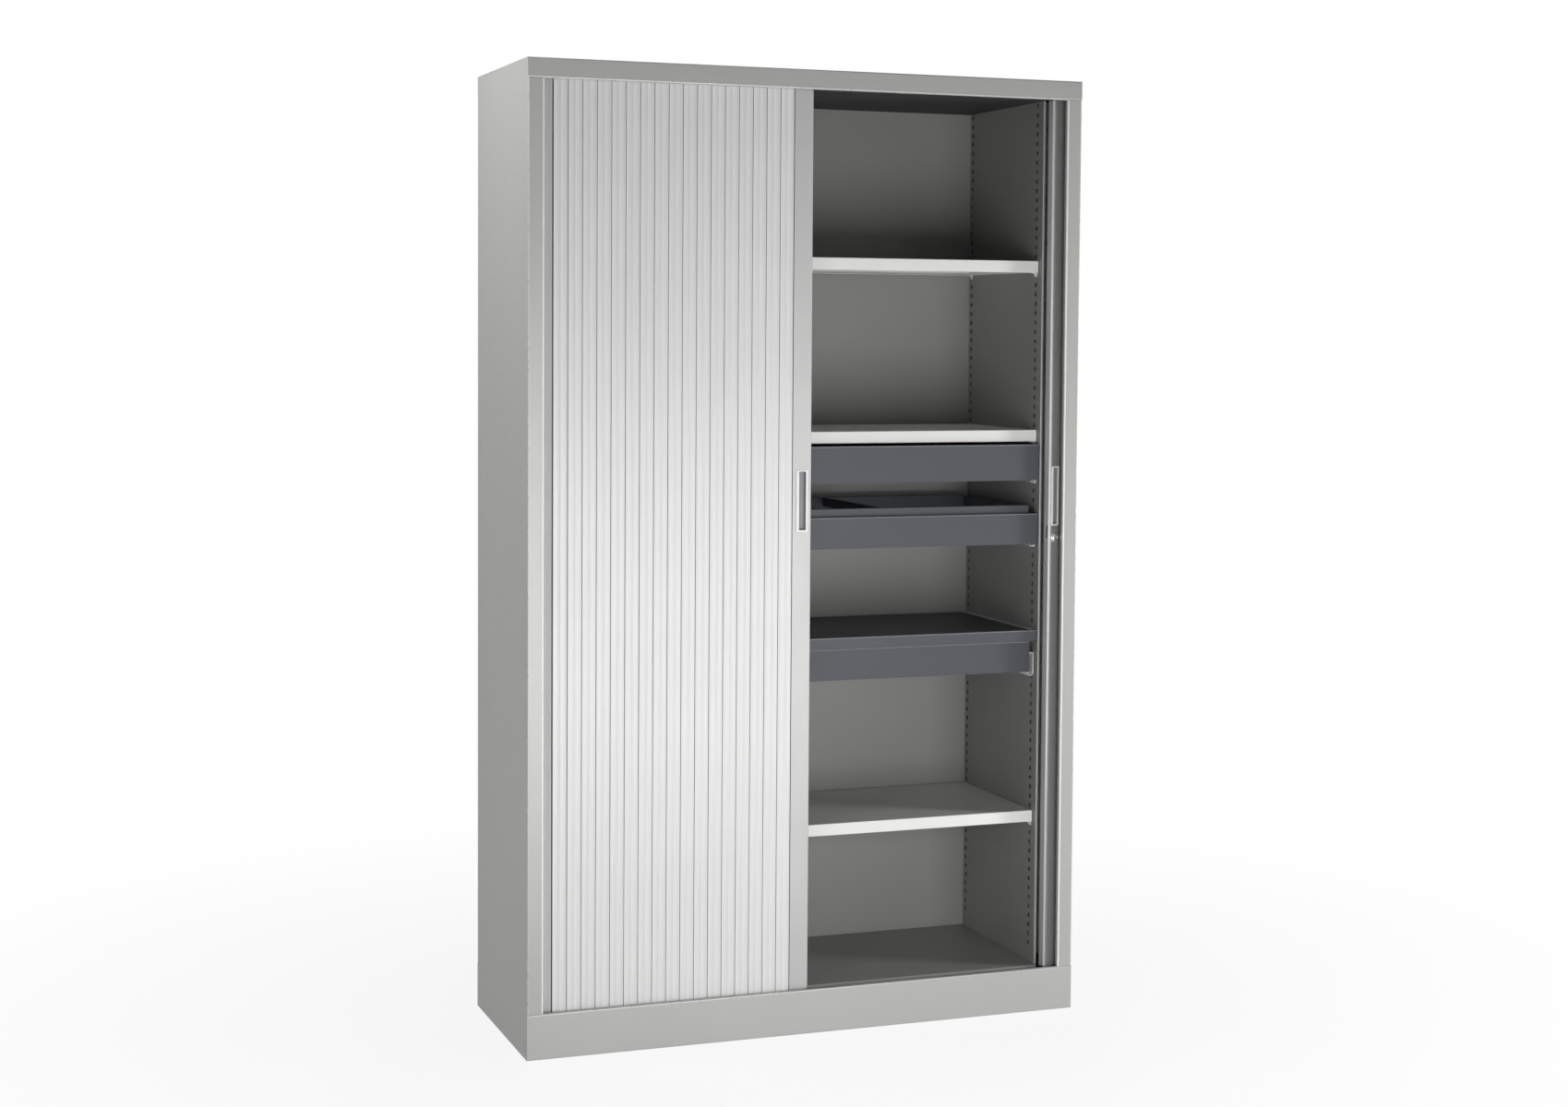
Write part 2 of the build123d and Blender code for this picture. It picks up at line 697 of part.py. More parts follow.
# Runners: where they start, how long the two kinds are, and the fixed ones' outer face
runner_start = pull_out_face + LOWER_FRAME_SET_BACK + RUNNER_SET_BACK
fixed_runner_length = rear - RUNNER_REAR - runner_start
inner_runner_length = pull_out_back - runner_start
runner_back = half_clear - SEAT


def outer_runners(slot, bottom, height):
    """A pair of fixed runners, each hung on the liner by two tongues in the slots."""
    with BuildPart() as pair:
        with BuildSketch(Plane.XZ.offset(-runner_start)):
            fold(
                [
                    (runner_back - RUNNER_LIP, bottom + height),
                    (runner_back, bottom + height),
                    (runner_back, bottom + RUNNER_CHAMFER),
                    (runner_back - RUNNER_CHAMFER, bottom),
                    (runner_back - RUNNER_LIP + RUNNER_CHAMFER, bottom),
                    (runner_back - RUNNER_LIP, bottom + RUNNER_CHAMFER),
                ],
                RUNNER_SHEET,
                Side.RIGHT,
            )
        extrude(amount=-fixed_runner_length)
        for middle in (front_slots, rear_slots):
            box_between(
                (runner_back - RUNNER_SHEET, middle - TONGUE_WIDTH / 2, slot - TONGUE_HEIGHT / 2),
                (runner_back + TONGUE_REACH, middle + TONGUE_WIDTH / 2, slot + TONGUE_HEIGHT / 2),
            )
        mirror(about=Plane.YZ)
    return pair.part


def inner_runners(bottom, height):
    """The pair of runners on a pull-out's sides, nested in the fixed ones."""
    low = bottom + RUNNER_NEST_RISE
    high = bottom + height - RUNNER_SHEET - SEAT
    with BuildPart() as pair:
        with BuildSketch(Plane.XZ.offset(-runner_start)):
            fold(
                [
                    (runner_back - RUNNER_NEST, high),
                    (body_half + SEAT, high),
                    (body_half + SEAT, low),
                    (runner_back - RUNNER_NEST, low),
                ],
                RUNNER_SHEET,
                Side.LEFT,
            )
        extrude(amount=-inner_runner_length)
        mirror(about=Plane.YZ)
    return pair.part


runner_slots = {
    "tray": slot_height(TRAY_ROW),
    "upper_frame": upper_frame_slot,
    "lower_frame": lower_frame_slot,
}
for runner_name, slot in runner_slots.items():
    bottom = slot - RUNNER_BELOW_SLOT
    save(outer_runners(slot, bottom, RUNNER_HEIGHT), f"{runner_name}_outer_runners")
    save(inner_runners(bottom, RUNNER_HEIGHT), f"{runner_name}_inner_runners")
reference_slot = slot_height(REFERENCE_ROW)
small_bottom = reference_slot - SMALL_RUNNER_BELOW_SLOT
save(
    outer_runners(reference_slot, small_bottom, SMALL_RUNNER_HEIGHT), "reference_outer_runners"
)
save(inner_runners(small_bottom, SMALL_RUNNER_HEIGHT), "reference_inner_runners")

# Hat-section stiffeners under the floor
floor_underside = PLINTH_HEIGHT - CARCASS_SHEET - SEAT
stiffener_start = step_front + CARCASS_SHEET + SEAT
stiffener_end = inner_back_rear - CARCASS_SHEET - SEAT
web_half = STIFFENER_WIDTH / 2
stiffener_x = half_clear / 2
with BuildPart() as floor_stiffeners:
    with BuildSketch(Plane.XZ.offset(-stiffener_start)):
        fold(
            [
                (stiffener_x - web_half - STIFFENER_FLANGE, floor_underside),
                (stiffener_x - web_half, floor_underside),
                (stiffener_x - web_half, floor_underside - STIFFENER_DEPTH),
                (stiffener_x + web_half, floor_underside - STIFFENER_DEPTH),
                (stiffener_x + web_half, floor_underside),
                (stiffener_x + web_half + STIFFENER_FLANGE, floor_underside),
            ],
            CARCASS_SHEET,
            Side.RIGHT,
        )
    extrude(amount=stiffener_start - stiffener_end)
    mirror(about=Plane.YZ)
save(floor_stiffeners.part, "floor_stiffeners")


def receiver(hinge, reach, top):
    """Points round the open jaws that hold the next slat's bead, seen with the outside up."""
    pocket = BEAD_RADIUS + BEAD_CLEARANCE
    outside = pocket + JAW_WALL
    lip_start = hinge + pocket - LIP_DEPTH
    return [
        (hinge - SLAT_GAP / 2, top),
        (hinge - SLAT_GAP / 2, outside),
        (hinge + pocket, outside - SEAT),
        (hinge + pocket + LIP_REACH, LIP_HEIGHT),
        (lip_start, LIP_HEIGHT),
        (lip_start, pocket),
        (hinge - pocket, pocket),
        (hinge - pocket, -pocket),
        (hinge + LOWER_JAW, -pocket),
        (hinge + LOWER_JAW, -outside),
        (hinge - outside, -outside),
        (hinge - outside, reach),
    ]


# One slat: a fluted front wall, a bead on a leg at one edge and jaws at the other
half_pitch = SLAT_PITCH / 2
flute_middle = (half_pitch + SLAT_GAP / 2) / 2
wall_inside = SLAT_FLUTE - SLAT_WALL
bead_root = BEAD_RADIUS - NECK / 2
with BuildPart() as slat:
    with BuildSketch(Plane.XY):
        with BuildLine():
            Polyline(
                (bead_root, -NECK / 2),
                (0, -BEAD_RADIUS),
                (-BEAD_RADIUS, 0),
                (0, BEAD_RADIUS),
                (bead_root, NECK / 2),
                (LEG_OFFSET, NECK / 2),
                (LEG_OFFSET, wall_inside),
                (SLAT_GAP / 2, wall_inside),
                (SLAT_GAP / 2, SLAT_EDGE),
            )
            ThreePointArc(
                (SLAT_GAP / 2, SLAT_EDGE), (flute_middle, SLAT_FLUTE), (half_pitch, SLAT_EDGE)
            )
            ThreePointArc(
                (half_pitch, SLAT_EDGE),
                (SLAT_PITCH - flute_middle, SLAT_FLUTE),
                (SLAT_PITCH - SLAT_GAP / 2, SLAT_EDGE),
            )
            jaws = Polyline(*receiver(SLAT_PITCH, wall_inside, SLAT_EDGE))
            Polyline(
                jaws @ 1,
                (LEG_OFFSET + SLAT_WALL, wall_inside),
                (LEG_OFFSET + SLAT_WALL, -NECK / 2),
                (bead_root, -NECK / 2),
            )
        make_face()
    extrude(amount=slat_length)


def curtain(stations):
    """Slats between a run of hinges on the right-hand lane, outside faces outwards."""
    places = []
    for start, end in zip(stations, stations[1:]):
        here = lane_point(start)
        there = lane_point(end)
        heading = (there[0] - here[0], there[1] - here[1], 0)
        origin = (here[0], here[1], slat_bottom + slat_length)
        places.append(Plane(origin=origin, x_dir=heading, z_dir=(0, 0, -1)))
    with BuildPart() as run:
        with Locations(*places):
            add(slat.part)
    return run.part


# Curtains: the closed left one, and the open right one along the side and behind the back
corner_start = sum(1 for station in closed_stations if station < arc_x)
side_end = sum(1 for s in stored_stations if s < arc_x + arc_length + side_run)
save(left_hand(curtain(closed_stations[: corner_start + 1])), "left_front_slats")
save(left_hand(curtain(closed_stations[corner_start:])), "left_corner_slats")
save(curtain(stored_stations[: side_end + 1]), "right_side_slats")
save(curtain(stored_stations[side_end:]), "right_rear_slats")


def make_stile(pose, cut_for_lock):
    """A leading stile: a box section whose trailing edge holds the first slat's bead."""
    jaws = [(x, -y) for x, y in receiver(hinge_arm, SLAT_EDGE, STILE_AHEAD)]
    with BuildPart() as stile:
        with BuildSketch(pose.offset(stile_bottom)):
            with BuildLine():
                Polyline(
                    (closing_edge, stile_front),
                    *jaws[:-1],
                    (jaws[-1][0], stile_front + STILE_WALL),
                    (box_end, stile_front + STILE_WALL),
                    (box_end, stile_rear),
                    (closing_edge, stile_rear),
                    close=True,
                )
            make_face()
            with BuildLine():
                Polyline(
                    (closing_edge + STILE_WALL, stile_front + STILE_WALL),
                    (box_end - STILE_WALL, stile_front + STILE_WALL),
                    (box_end - STILE_WALL, stile_rear - STILE_WALL),
                    (closing_edge + STILE_WALL, stile_rear - STILE_WALL),
                    close=True,
                )
            make_face(mode=Mode.SUBTRACT)
        extrude(amount=stile_length)
        corner = pose.from_local_coords(Vector(closing_edge, stile_front, middle_height))
        fillet(
            stile.edges().filter_by(Axis.Z).sort_by_distance(corner)[0], radius=STILE_ROUND
        )
        strip_start = closing_edge + STILE_ROUND
        strip_width = hinge_arm - SLAT_GAP / 2 - strip_start
        for level in (stile_bottom - STILE_OVERLAP, stile_bottom + stile_length):
            with BuildSketch(pose.offset(level)):
                with Locations((strip_start + strip_width / 2, stile_front + STILE_WALL / 2)):
                    Rectangle(strip_width, STILE_WALL)
            extrude(amount=STILE_OVERLAP)
        with BuildSketch(front_plane(pose, handle_x, handle_height)):
            Rectangle(
                HANDLE_WIDTH - 2 * HANDLE_BODY_MARGIN + 2 * HANDLE_CLEARANCE,
                HANDLE_LENGTH - 2 * HANDLE_BODY_MARGIN + 2 * HANDLE_CLEARANCE,
            )
        extrude(amount=-STILE_WALL, mode=Mode.SUBTRACT)
        if cut_for_lock:
            with BuildSketch(front_plane(pose, lock_x, LOCK_HEIGHT)):
                Rectangle(
                    LOCK_BODY_WIDTH + 2 * LOCK_CLEARANCE, LOCK_BODY_HEIGHT + 2 * LOCK_CLEARANCE
                )
            extrude(amount=-STILE_WALL, mode=Mode.SUBTRACT)
            edge_slot(pose, -SLOT_CLEARANCE, STILE_WALL, 0)
        else:
            edge_slot(pose, HOOK_NOTCH - SLOT_CLEARANCE, STILE_WALL, 0)
    return stile.part


def front_plane(pose, across, height):
    """A plane on a stile's front face, facing outwards, with its y up."""
    origin = pose.from_local_coords(Vector(across, stile_front, height))
    return Plane(origin=origin, x_dir=pose.x_dir, z_dir=-pose.y_dir)


def edge_slot(pose, low, depth, inset):
    """Cut the slot that the hook swings through, in what lies an inset behind the edge."""
    high = hypot(HOOK_REACH, SLOT_CLEARANCE) - SLOT_CLEARANCE
    slot_depth = HOOK_THICKNESS + 2 * SLOT_CLEARANCE
    slot_middle = stile_front + HOOK_FACE + HOOK_THICKNESS / 2
    origin = pose.from_local_coords(
        Vector(closing_edge + inset, slot_middle, LOCK_HEIGHT + (low + high) / 2)
    )
    with BuildSketch(Plane(origin=origin, x_dir=pose.y_dir, z_dir=pose.x_dir)) as opening:
        Rectangle(slot_depth, high - low)
    extrude(opening.sketch, amount=depth, mode=Mode.SUBTRACT)


def make_end_caps(pose):
    """Plugs in the ends of a stile, bored for the guide shoes' pins."""
    with BuildPart() as caps:
        with BuildSketch(pose.offset(stile_bottom)):
            with Locations(
                (
                    (closing_edge + box_end) / 2,
                    (stile_front + stile_rear) / 2,
                )
            ):
                Rectangle(
                    STILE_BOX - 2 * STILE_WALL - 2 * CAP_CLEARANCE,
                    STILE_THICKNESS - 2 * STILE_WALL - 2 * CAP_CLEARANCE,
                )
            Circle(PIN_DIAMETER / 2 + PIN_CLEARANCE, mode=Mode.SUBTRACT)
        extrude(amount=CAP_LENGTH)
        mirror(about=middle_plane)
    return caps.part


def make_shoes(carriage):
    """Guide shoes in the tracks, each with the pin that a stile turns on."""
    low = groove_floor + SHOE_LIFT
    high = track_mouth - SHOE_BELOW_MOUTH
    with BuildPart() as shoes:
        with BuildSketch(carriage.offset(low)):
            with Locations(((SHOE_PAST_PIVOT - SHOE_BEFORE_PIVOT) / 2, 0)):
                Rectangle(SHOE_BEFORE_PIVOT + SHOE_PAST_PIVOT, SHOE_THICKNESS)
        extrude(amount=high - low)
        with BuildSketch(carriage.offset(high)):
            Circle(PIN_DIAMETER / 2)
        extrude(amount=stile_bottom + PIN_IN_CAP - high)
        mirror(about=middle_plane)
    return shoes.part


def make_handle(pose):
    """A flush handle: a raised bezel round a finger recess, let into the stile."""
    plane = front_plane(pose, handle_x, handle_height)
    with BuildPart() as handle:
        with BuildSketch(plane):
            RectangleRounded(HANDLE_WIDTH, HANDLE_LENGTH, HANDLE_ROUND)
        extrude(amount=HANDLE_PROUD)
        with BuildSketch(plane):
            Rectangle(
                HANDLE_WIDTH - 2 * HANDLE_BODY_MARGIN, HANDLE_LENGTH - 2 * HANDLE_BODY_MARGIN
            )
        extrude(amount=-HANDLE_BODY_DEPTH)
        with BuildSketch(plane.offset(HANDLE_PROUD)):
            Rectangle(
                HANDLE_WIDTH - 2 * HANDLE_BORDER_SIDE, HANDLE_LENGTH - 2 * HANDLE_BORDER_END
            )
        extrude(amount=-(HANDLE_PROUD + HANDLE_BODY_DEPTH - HANDLE_FLOOR), mode=Mode.SUBTRACT)
    return handle.part


save(make_stile(open_pose, True), "right_stile")
save(make_end_caps(open_pose), "right_stile_end_caps")
save(make_shoes(open_carriage), "right_guide_shoes")
save(make_handle(open_pose), "right_handle")
save(left_hand(make_stile(closed_pose, False)), "left_stile")
save(left_hand(make_end_caps(closed_pose)), "left_stile_end_caps")
save(left_hand(make_shoes(closed_pose)), "left_guide_shoes")
save(left_hand(make_handle(closed_pose)), "left_handle")

# Lock: a flanged housing, a keyed plug and a hook that swings out of the closing edge
lock_plane = front_plane(open_pose, lock_x, LOCK_HEIGHT)
with BuildPart() as lock_housing:
    with BuildSketch(lock_plane):
        Circle(LOCK_FLANGE_DIAMETER / 2)
    extrude(amount=LOCK_PROUD)
    with BuildSketch(lock_plane):
        Rectangle(LOCK_BODY_WIDTH, LOCK_BODY_HEIGHT)
    extrude(amount=-LOCK_BODY_DEPTH)
    with BuildSketch(lock_plane.offset(LOCK_PROUD)):
        Circle(PLUG_DIAMETER / 2 + PLUG_CLEARANCE)
    extrude(amount=-(LOCK_PROUD + LOCK_BODY_DEPTH), mode=Mode.SUBTRACT)
save(lock_housing.part, "lock_housing")

with BuildPart() as lock_plug:
    with BuildSketch(lock_plane.offset(-HOOK_FACE)):
        Circle(PLUG_DIAMETER / 2)
    extrude(amount=HOOK_FACE + LOCK_PROUD)
    with BuildSketch(lock_plane.offset(LOCK_PROUD)):
        Rectangle(KEYWAY_WIDTH, KEYWAY_LENGTH)
    extrude(amount=-KEYWAY_DEPTH, mode=Mode.SUBTRACT)
save(lock_plug.part, "lock_plug")

with BuildPart() as lock_hook:
    with BuildSketch(lock_plane.offset(-HOOK_FACE)):
        with BuildLine():
            tip_height = sqrt(HOOK_REACH**2 - HOOK_WIDTH**2)
            claw_start = HOOK_REACH - HOOK_CLAW
            notch_start = claw_start - HOOK_NOTCH_LENGTH
            Polyline(
                (0, HOOK_REACH),
                (0, claw_start),
                (HOOK_NOTCH, claw_start),
                (HOOK_NOTCH, notch_start),
                (0, notch_start),
                (0, HOOK_TAIL),
                (-HOOK_TAIL, HOOK_TAIL),
                (-HOOK_TAIL, -HOOK_TAIL),
                (HOOK_WIDTH, -HOOK_TAIL),
                (HOOK_WIDTH, tip_height),
            )
            RadiusArc((HOOK_WIDTH, tip_height), (0, HOOK_REACH), -HOOK_REACH)
        make_face()
    extrude(amount=-HOOK_THICKNESS)
save(lock_hook.part, "lock_hook")

# Strike: a plate behind the left stile's closing wall that the hook's claw catches
with BuildPart() as strike_plate:
    strike_low = LOCK_HEIGHT - STRIKE_MARGIN
    strike_high = LOCK_HEIGHT + HOOK_REACH + STRIKE_MARGIN
    strike_x = closed_pivot_x + closing_edge + STILE_WALL + SEAT
    box_between(
        (strike_x, lane_front_y + stile_front + STILE_WALL + SEAT, strike_low),
        (
            strike_x + STRIKE_SHEET,
            lane_front_y + stile_rear - STILE_WALL - SEAT,
            strike_high,
        ),
    )
    edge_slot(closed_pose, HOOK_NOTCH - SLOT_CLEARANCE, STRIKE_SHEET, STILE_WALL + SEAT)
save(left_hand(strike_plate.part), "strike_plate")

print("slats in each shutter", slat_count, "slot rows", slot_rows)
print("shutter travel", round(open_pivot_x - closed_pivot_x, 3), "stile tilt", round(tilt, 4))
print("open pivot", round(open_pivot_x, 3), "closed pivot", round(closed_pivot_x, 3))
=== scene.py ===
import json
import math

import bmesh
import bpy
from mathutils import Matrix, Vector


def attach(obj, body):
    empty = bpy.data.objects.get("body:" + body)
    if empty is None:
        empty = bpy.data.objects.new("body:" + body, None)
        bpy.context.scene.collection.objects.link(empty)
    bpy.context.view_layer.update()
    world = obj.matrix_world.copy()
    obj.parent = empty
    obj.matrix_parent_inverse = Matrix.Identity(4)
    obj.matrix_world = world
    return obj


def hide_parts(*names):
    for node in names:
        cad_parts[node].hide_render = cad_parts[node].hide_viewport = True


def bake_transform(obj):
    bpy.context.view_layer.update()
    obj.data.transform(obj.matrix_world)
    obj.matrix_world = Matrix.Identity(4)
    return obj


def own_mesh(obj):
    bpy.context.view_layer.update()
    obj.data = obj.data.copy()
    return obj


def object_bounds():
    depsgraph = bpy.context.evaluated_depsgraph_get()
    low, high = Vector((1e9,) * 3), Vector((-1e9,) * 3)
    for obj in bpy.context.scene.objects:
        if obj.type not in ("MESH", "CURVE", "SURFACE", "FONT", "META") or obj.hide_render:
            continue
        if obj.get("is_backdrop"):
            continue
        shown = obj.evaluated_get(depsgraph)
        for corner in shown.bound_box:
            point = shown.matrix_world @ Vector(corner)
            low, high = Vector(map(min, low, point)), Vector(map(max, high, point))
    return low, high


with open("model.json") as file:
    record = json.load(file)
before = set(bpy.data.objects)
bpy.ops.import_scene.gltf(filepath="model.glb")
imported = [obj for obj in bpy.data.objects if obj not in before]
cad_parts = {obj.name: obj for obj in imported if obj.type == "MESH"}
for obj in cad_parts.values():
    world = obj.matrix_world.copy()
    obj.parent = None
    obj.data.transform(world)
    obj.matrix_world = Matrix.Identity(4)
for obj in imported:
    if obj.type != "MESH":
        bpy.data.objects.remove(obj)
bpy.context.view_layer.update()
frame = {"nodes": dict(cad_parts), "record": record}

# Sizes in metres, as in the part's source
MM = 0.001
FRONT = -0.215
TRAVEL = 0.5347


def place(u, v, w):
    """A point from millimetres: X, distance behind the front face, Z."""
    return Vector((u * MM, FRONT + v * MM, w * MM))


# Materials

# Blender's noise mostly stays within this range
NOISE_LOW, NOISE_HIGH = 0.3, 0.7


class Shader:
    """Builds one procedural material."""

    def __init__(self, name, colour, roughness, metallic=0.0):
        self.material = bpy.data.materials.new(name)
        self.material.use_nodes = True
        self.nodes = self.material.node_tree.nodes
        self.links = self.material.node_tree.links
        self.bsdf = self.nodes["Principled BSDF"]
        self.bsdf.inputs["Base Color"].default_value = (*colour, 1)
        self.bsdf.inputs["Roughness"].default_value = roughness
        self.bsdf.inputs["Metallic"].default_value = metallic
        self.coords = self.nodes.new("ShaderNodeTexCoord").outputs["Object"]

    def node(self, kind, **values):
        made = self.nodes.new(kind)
        for key, value in values.items():
            setattr(made, key, value)
        return made

    def stretched(self, scale):
        """Object coordinates, scaled per axis."""
        mapping = self.node("ShaderNodeMapping")
        mapping.inputs["Scale"].default_value = scale
        self.links.new(self.coords, mapping.inputs["Vector"])
        return mapping.outputs["Vector"]

    def noise(self, scale, detail, roughness=0.55, vector=None):
        made = self.node("ShaderNodeTexNoise")
        made.inputs["Scale"].default_value = scale
        made.inputs["Detail"].default_value = detail
        made.inputs["Roughness"].default_value = roughness
        self.links.new(vector if vector is not None else self.coords, made.inputs["Vector"])
        return made.outputs["Fac"]

    def span(self, value, low, high, out_low, out_high):
        made = self.node("ShaderNodeMapRange")
        for key, number in (
            ("From Min", low),
            ("From Max", high),
            ("To Min", out_low),
            ("To Max", out_high),
        ):
            made.inputs[key].default_value = number
        self.links.new(value, made.inputs["Value"])
        return made.outputs["Result"]

    def spread(self, noise, out_low=0.0, out_high=1.0):
        """A noise spread out between two values."""
        return self.span(noise, NOISE_LOW, NOISE_HIGH, out_low, out_high)

    def math(self, kind, a, b):
        made = self.node("ShaderNodeMath", operation=kind)
        for socket, value in zip(made.inputs, (a, b)):
            if isinstance(value, (int, float)):
                socket.default_value = value
            else:
                self.links.new(value, socket)
        return made.outputs[0]

    def shared(self, a, b, share):
        """The sum of two values, this share of the first and the rest of the second."""
        part, rest = self.math("MULTIPLY", a, share), self.math("MULTIPLY", b, 1 - share)
        return self.math("ADD", part, rest)

    def mix(self, factor, a, b):
        made = self.node("ShaderNodeMix", data_type="RGBA")
        self.links.new(factor, made.inputs[0])
        for socket, value in zip((made.inputs[6], made.inputs[7]), (a, b)):
            if isinstance(value, tuple):
                socket.default_value = (*value, 1)
            else:
                self.links.new(value, socket)
        return made.outputs[2]

    def colour(self, value):
        self.links.new(value, self.bsdf.inputs["Base Color"])

    def roughness(self, value):
        self.links.new(value, self.bsdf.inputs["Roughness"])

    def bump(self, value, strength, distance):
        made = self.node("ShaderNodeBump")
        made.inputs["Strength"].default_value = strength
        made.inputs["Distance"].default_value = distance
        self.links.new(value, made.inputs["Height"])
        self.links.new(made.outputs["Normal"], self.bsdf.inputs["Normal"])


FLAKE_SCALE, CLOUD_SCALE, SHEEN_SCALE, PEEL_SCALE = 2600, 2.2, 55, 420


def paint(name, light, dark, roughness, metallic, specular, peel=0.012):
    """Powder coat: fine flakes, a slow change of tone, and orange peel as strong as peel."""
    s = Shader(name, light, roughness, metallic)
    s.bsdf.inputs["Specular IOR Level"].default_value = specular
    flakes = s.spread(s.noise(FLAKE_SCALE, 1.0))
    clouds = s.spread(s.noise(CLOUD_SCALE, 3.0))
    s.colour(s.mix(s.shared(flakes, clouds, 0.45), dark, light))
    s.roughness(s.spread(s.noise(SHEEN_SCALE, 4.0), roughness - 0.02, roughness + 0.03))
    s.bump(s.noise(PEEL_SCALE, 2.0), peel, 0.0002)
    return s.material


def sanded(name, light, dark, roughness, metallic, stretch):
    """Fine grain, drawn out along the axis on which stretch is least."""
    s = Shader(name, light, roughness, metallic)
    grain = s.noise(1.0, 3.0, 0.6, s.stretched(stretch))
    clouds = s.noise(6.0, 2.0)
    s.colour(s.mix(s.span(s.shared(grain, clouds, 0.6), 0.35, 0.65, 0.0, 1.0), dark, light))
    s.roughness(s.spread(grain, roughness - 0.05, roughness + 0.08))
    s.bump(grain, 0.12, 0.0001)
    return s.material


STEEL = paint("silver_paint", (0.39, 0.39, 0.376), (0.36, 0.36, 0.346), 0.38, 0.24, 0.35)
# The same silver paint made darker: painted shade inside the cupboard
SHADED_INSIDE = paint(
    "silver_paint_painted_shade_inside", (0.28, 0.28, 0.272), (0.255, 0.255, 0.247), 0.45, 0.08, 0.3
)
# A lighter copy of the silver paint on the outer faces of bends: a painted highlight
BEND_HIGHLIGHT = paint("silver_paint_highlight_on_bends", (0.50, 0.50, 0.487), (0.47, 0.47, 0.457), 0.28, 0.2, 0.5)
# Near-white on the bends of the front flanges' lips: a painted highlight
LIP_HIGHLIGHT = paint("silver_paint_highlight_on_lips", (0.88, 0.88, 0.87), (0.84, 0.84, 0.83), 0.26, 0.0, 0.5)
# A lighter copy of the silver paint on the plinth: painted light
PLINTH_LIT_PAINT = paint(
    "silver_paint_lit_plinth", (0.42, 0.42, 0.405), (0.39, 0.39, 0.376), 0.38, 0.24, 0.35
)
CEILING = paint(
    "shaded_paint_inside", (0.036, 0.036, 0.036), (0.030, 0.030, 0.030), 0.6, 0.0, 0.2
)
# A lighter copy of the anthracite on the fronts' top bends: a painted highlight
DARK_BEND_HIGHLIGHT = paint(
    "anthracite_highlight_on_bends", (0.24, 0.25, 0.265), (0.20, 0.21, 0.225), 0.26, 0.0, 0.5
)
SHELF = paint("light_paint", (0.75, 0.75, 0.735), (0.72, 0.72, 0.706), 0.42, 0.0, 0.25, 0.003)
DARK = paint("anthracite_paint", (0.055, 0.060, 0.070), (0.048, 0.053, 0.062), 0.44, 0.0, 0.35)
SLAT = sanded(
    "shutter_plastic_light", (0.69, 0.69, 0.685), (0.655, 0.655, 0.65), 0.27, 0.0, (1500, 1500, 9)
)
# Painted shade inside the joints between slats
JOINT_SHADE = sanded(
    "shutter_joint_shade", (0.075, 0.075, 0.078), (0.055, 0.055, 0.058), 0.5, 0.0, (900, 900, 30)
)
STILE = sanded(
    "stile_silver", (0.38, 0.38, 0.377), (0.35, 0.35, 0.347), 0.46, 0.60, (1800, 1800, 14)
)
GRIP = sanded(
    "handle_light", (0.80, 0.80, 0.79), (0.76, 0.76, 0.755), 0.28, 0.0, (900, 900, 40)
)
# A darker copy of the handles' plastic: painted shade in their recesses
RECESS_SHADE = sanded(
    "handle_recess_painted_shade", (0.30, 0.30, 0.305), (0.25, 0.25, 0.255), 0.40, 0.0, (900, 900, 60)
)
# Black track plastic; on the rims of the liners' slots it is painted shade
TRACK_BLACK_AND_SLOT_SHADE = paint("track_black_and_slot_shade", (0.035, 0.035, 0.038), (0.026, 0.026, 0.028), 0.5, 0.0, 0.4)
# Light, barely metallic zinc: its light tone is partly its own and partly a painted highlight
ZINC_WITH_HIGHLIGHT = sanded(
    "zinc_with_painted_highlight", (0.88, 0.89, 0.90), (0.82, 0.83, 0.85), 0.28, 0.25, (60, 900, 900)
)
CHROME = sanded(
    "lock_bright", (0.84, 0.84, 0.82), (0.78, 0.78, 0.765), 0.16, 0.80, (400, 400, 400)
)

SLOT_MATERIAL = {
    "painted_steel": STEEL,
    "anthracite_steel": DARK,
    "shutter_plastic": SLAT,
    "stile_aluminium": STILE,
    "handle_plastic": GRIP,
    "track_plastic": TRACK_BLACK_AND_SLOT_SHADE,
    "zinc_steel": ZINC_WITH_HIGHLIGHT,
    "lock_chrome": CHROME,
}
# Nodes with a paint of their own: the inside's darker silver is painted shade, and the ceiling's
# stands for the shade that contents would give
SPECIAL = {
    "base_panel": SHADED_INSIDE, "inner_back": SHADED_INSIDE, "floor_stiffeners": SHADED_INSIDE, "ceiling_panel": CEILING,
}
WELD_GAP, BEVEL_WIDTH = 0.00001, 0.00035
SHARP = math.radians(35)
slot_of = {p["node"]: p["material_slot"] for p in frame["record"]["subparts"]}
for name, obj in frame["nodes"].items():
    material = SPECIAL.get(name, SLOT_MATERIAL[slot_of[name]])
    obj.data.materials.clear()
    obj.data.materials.append(material)
    weld = obj.modifiers.new("weld", "WELD")
    weld.merge_threshold = WELD_GAP
    bevel = obj.modifiers.new("bevel", "BEVEL")
    bevel.width = BEVEL_WIDTH
    bevel.segments = 2
    bevel.limit_method = "ANGLE"
    bevel.angle_limit = SHARP
    normals = obj.modifiers.new("normals", "WEIGHTED_NORMAL")
    normals.keep_sharp = False

# Shapes, in millimetres until they reach place()

HARD_EDGE = math.radians(28)
SAME_POINT = 1e-7  # metres
LEAST_BEND = 0.2


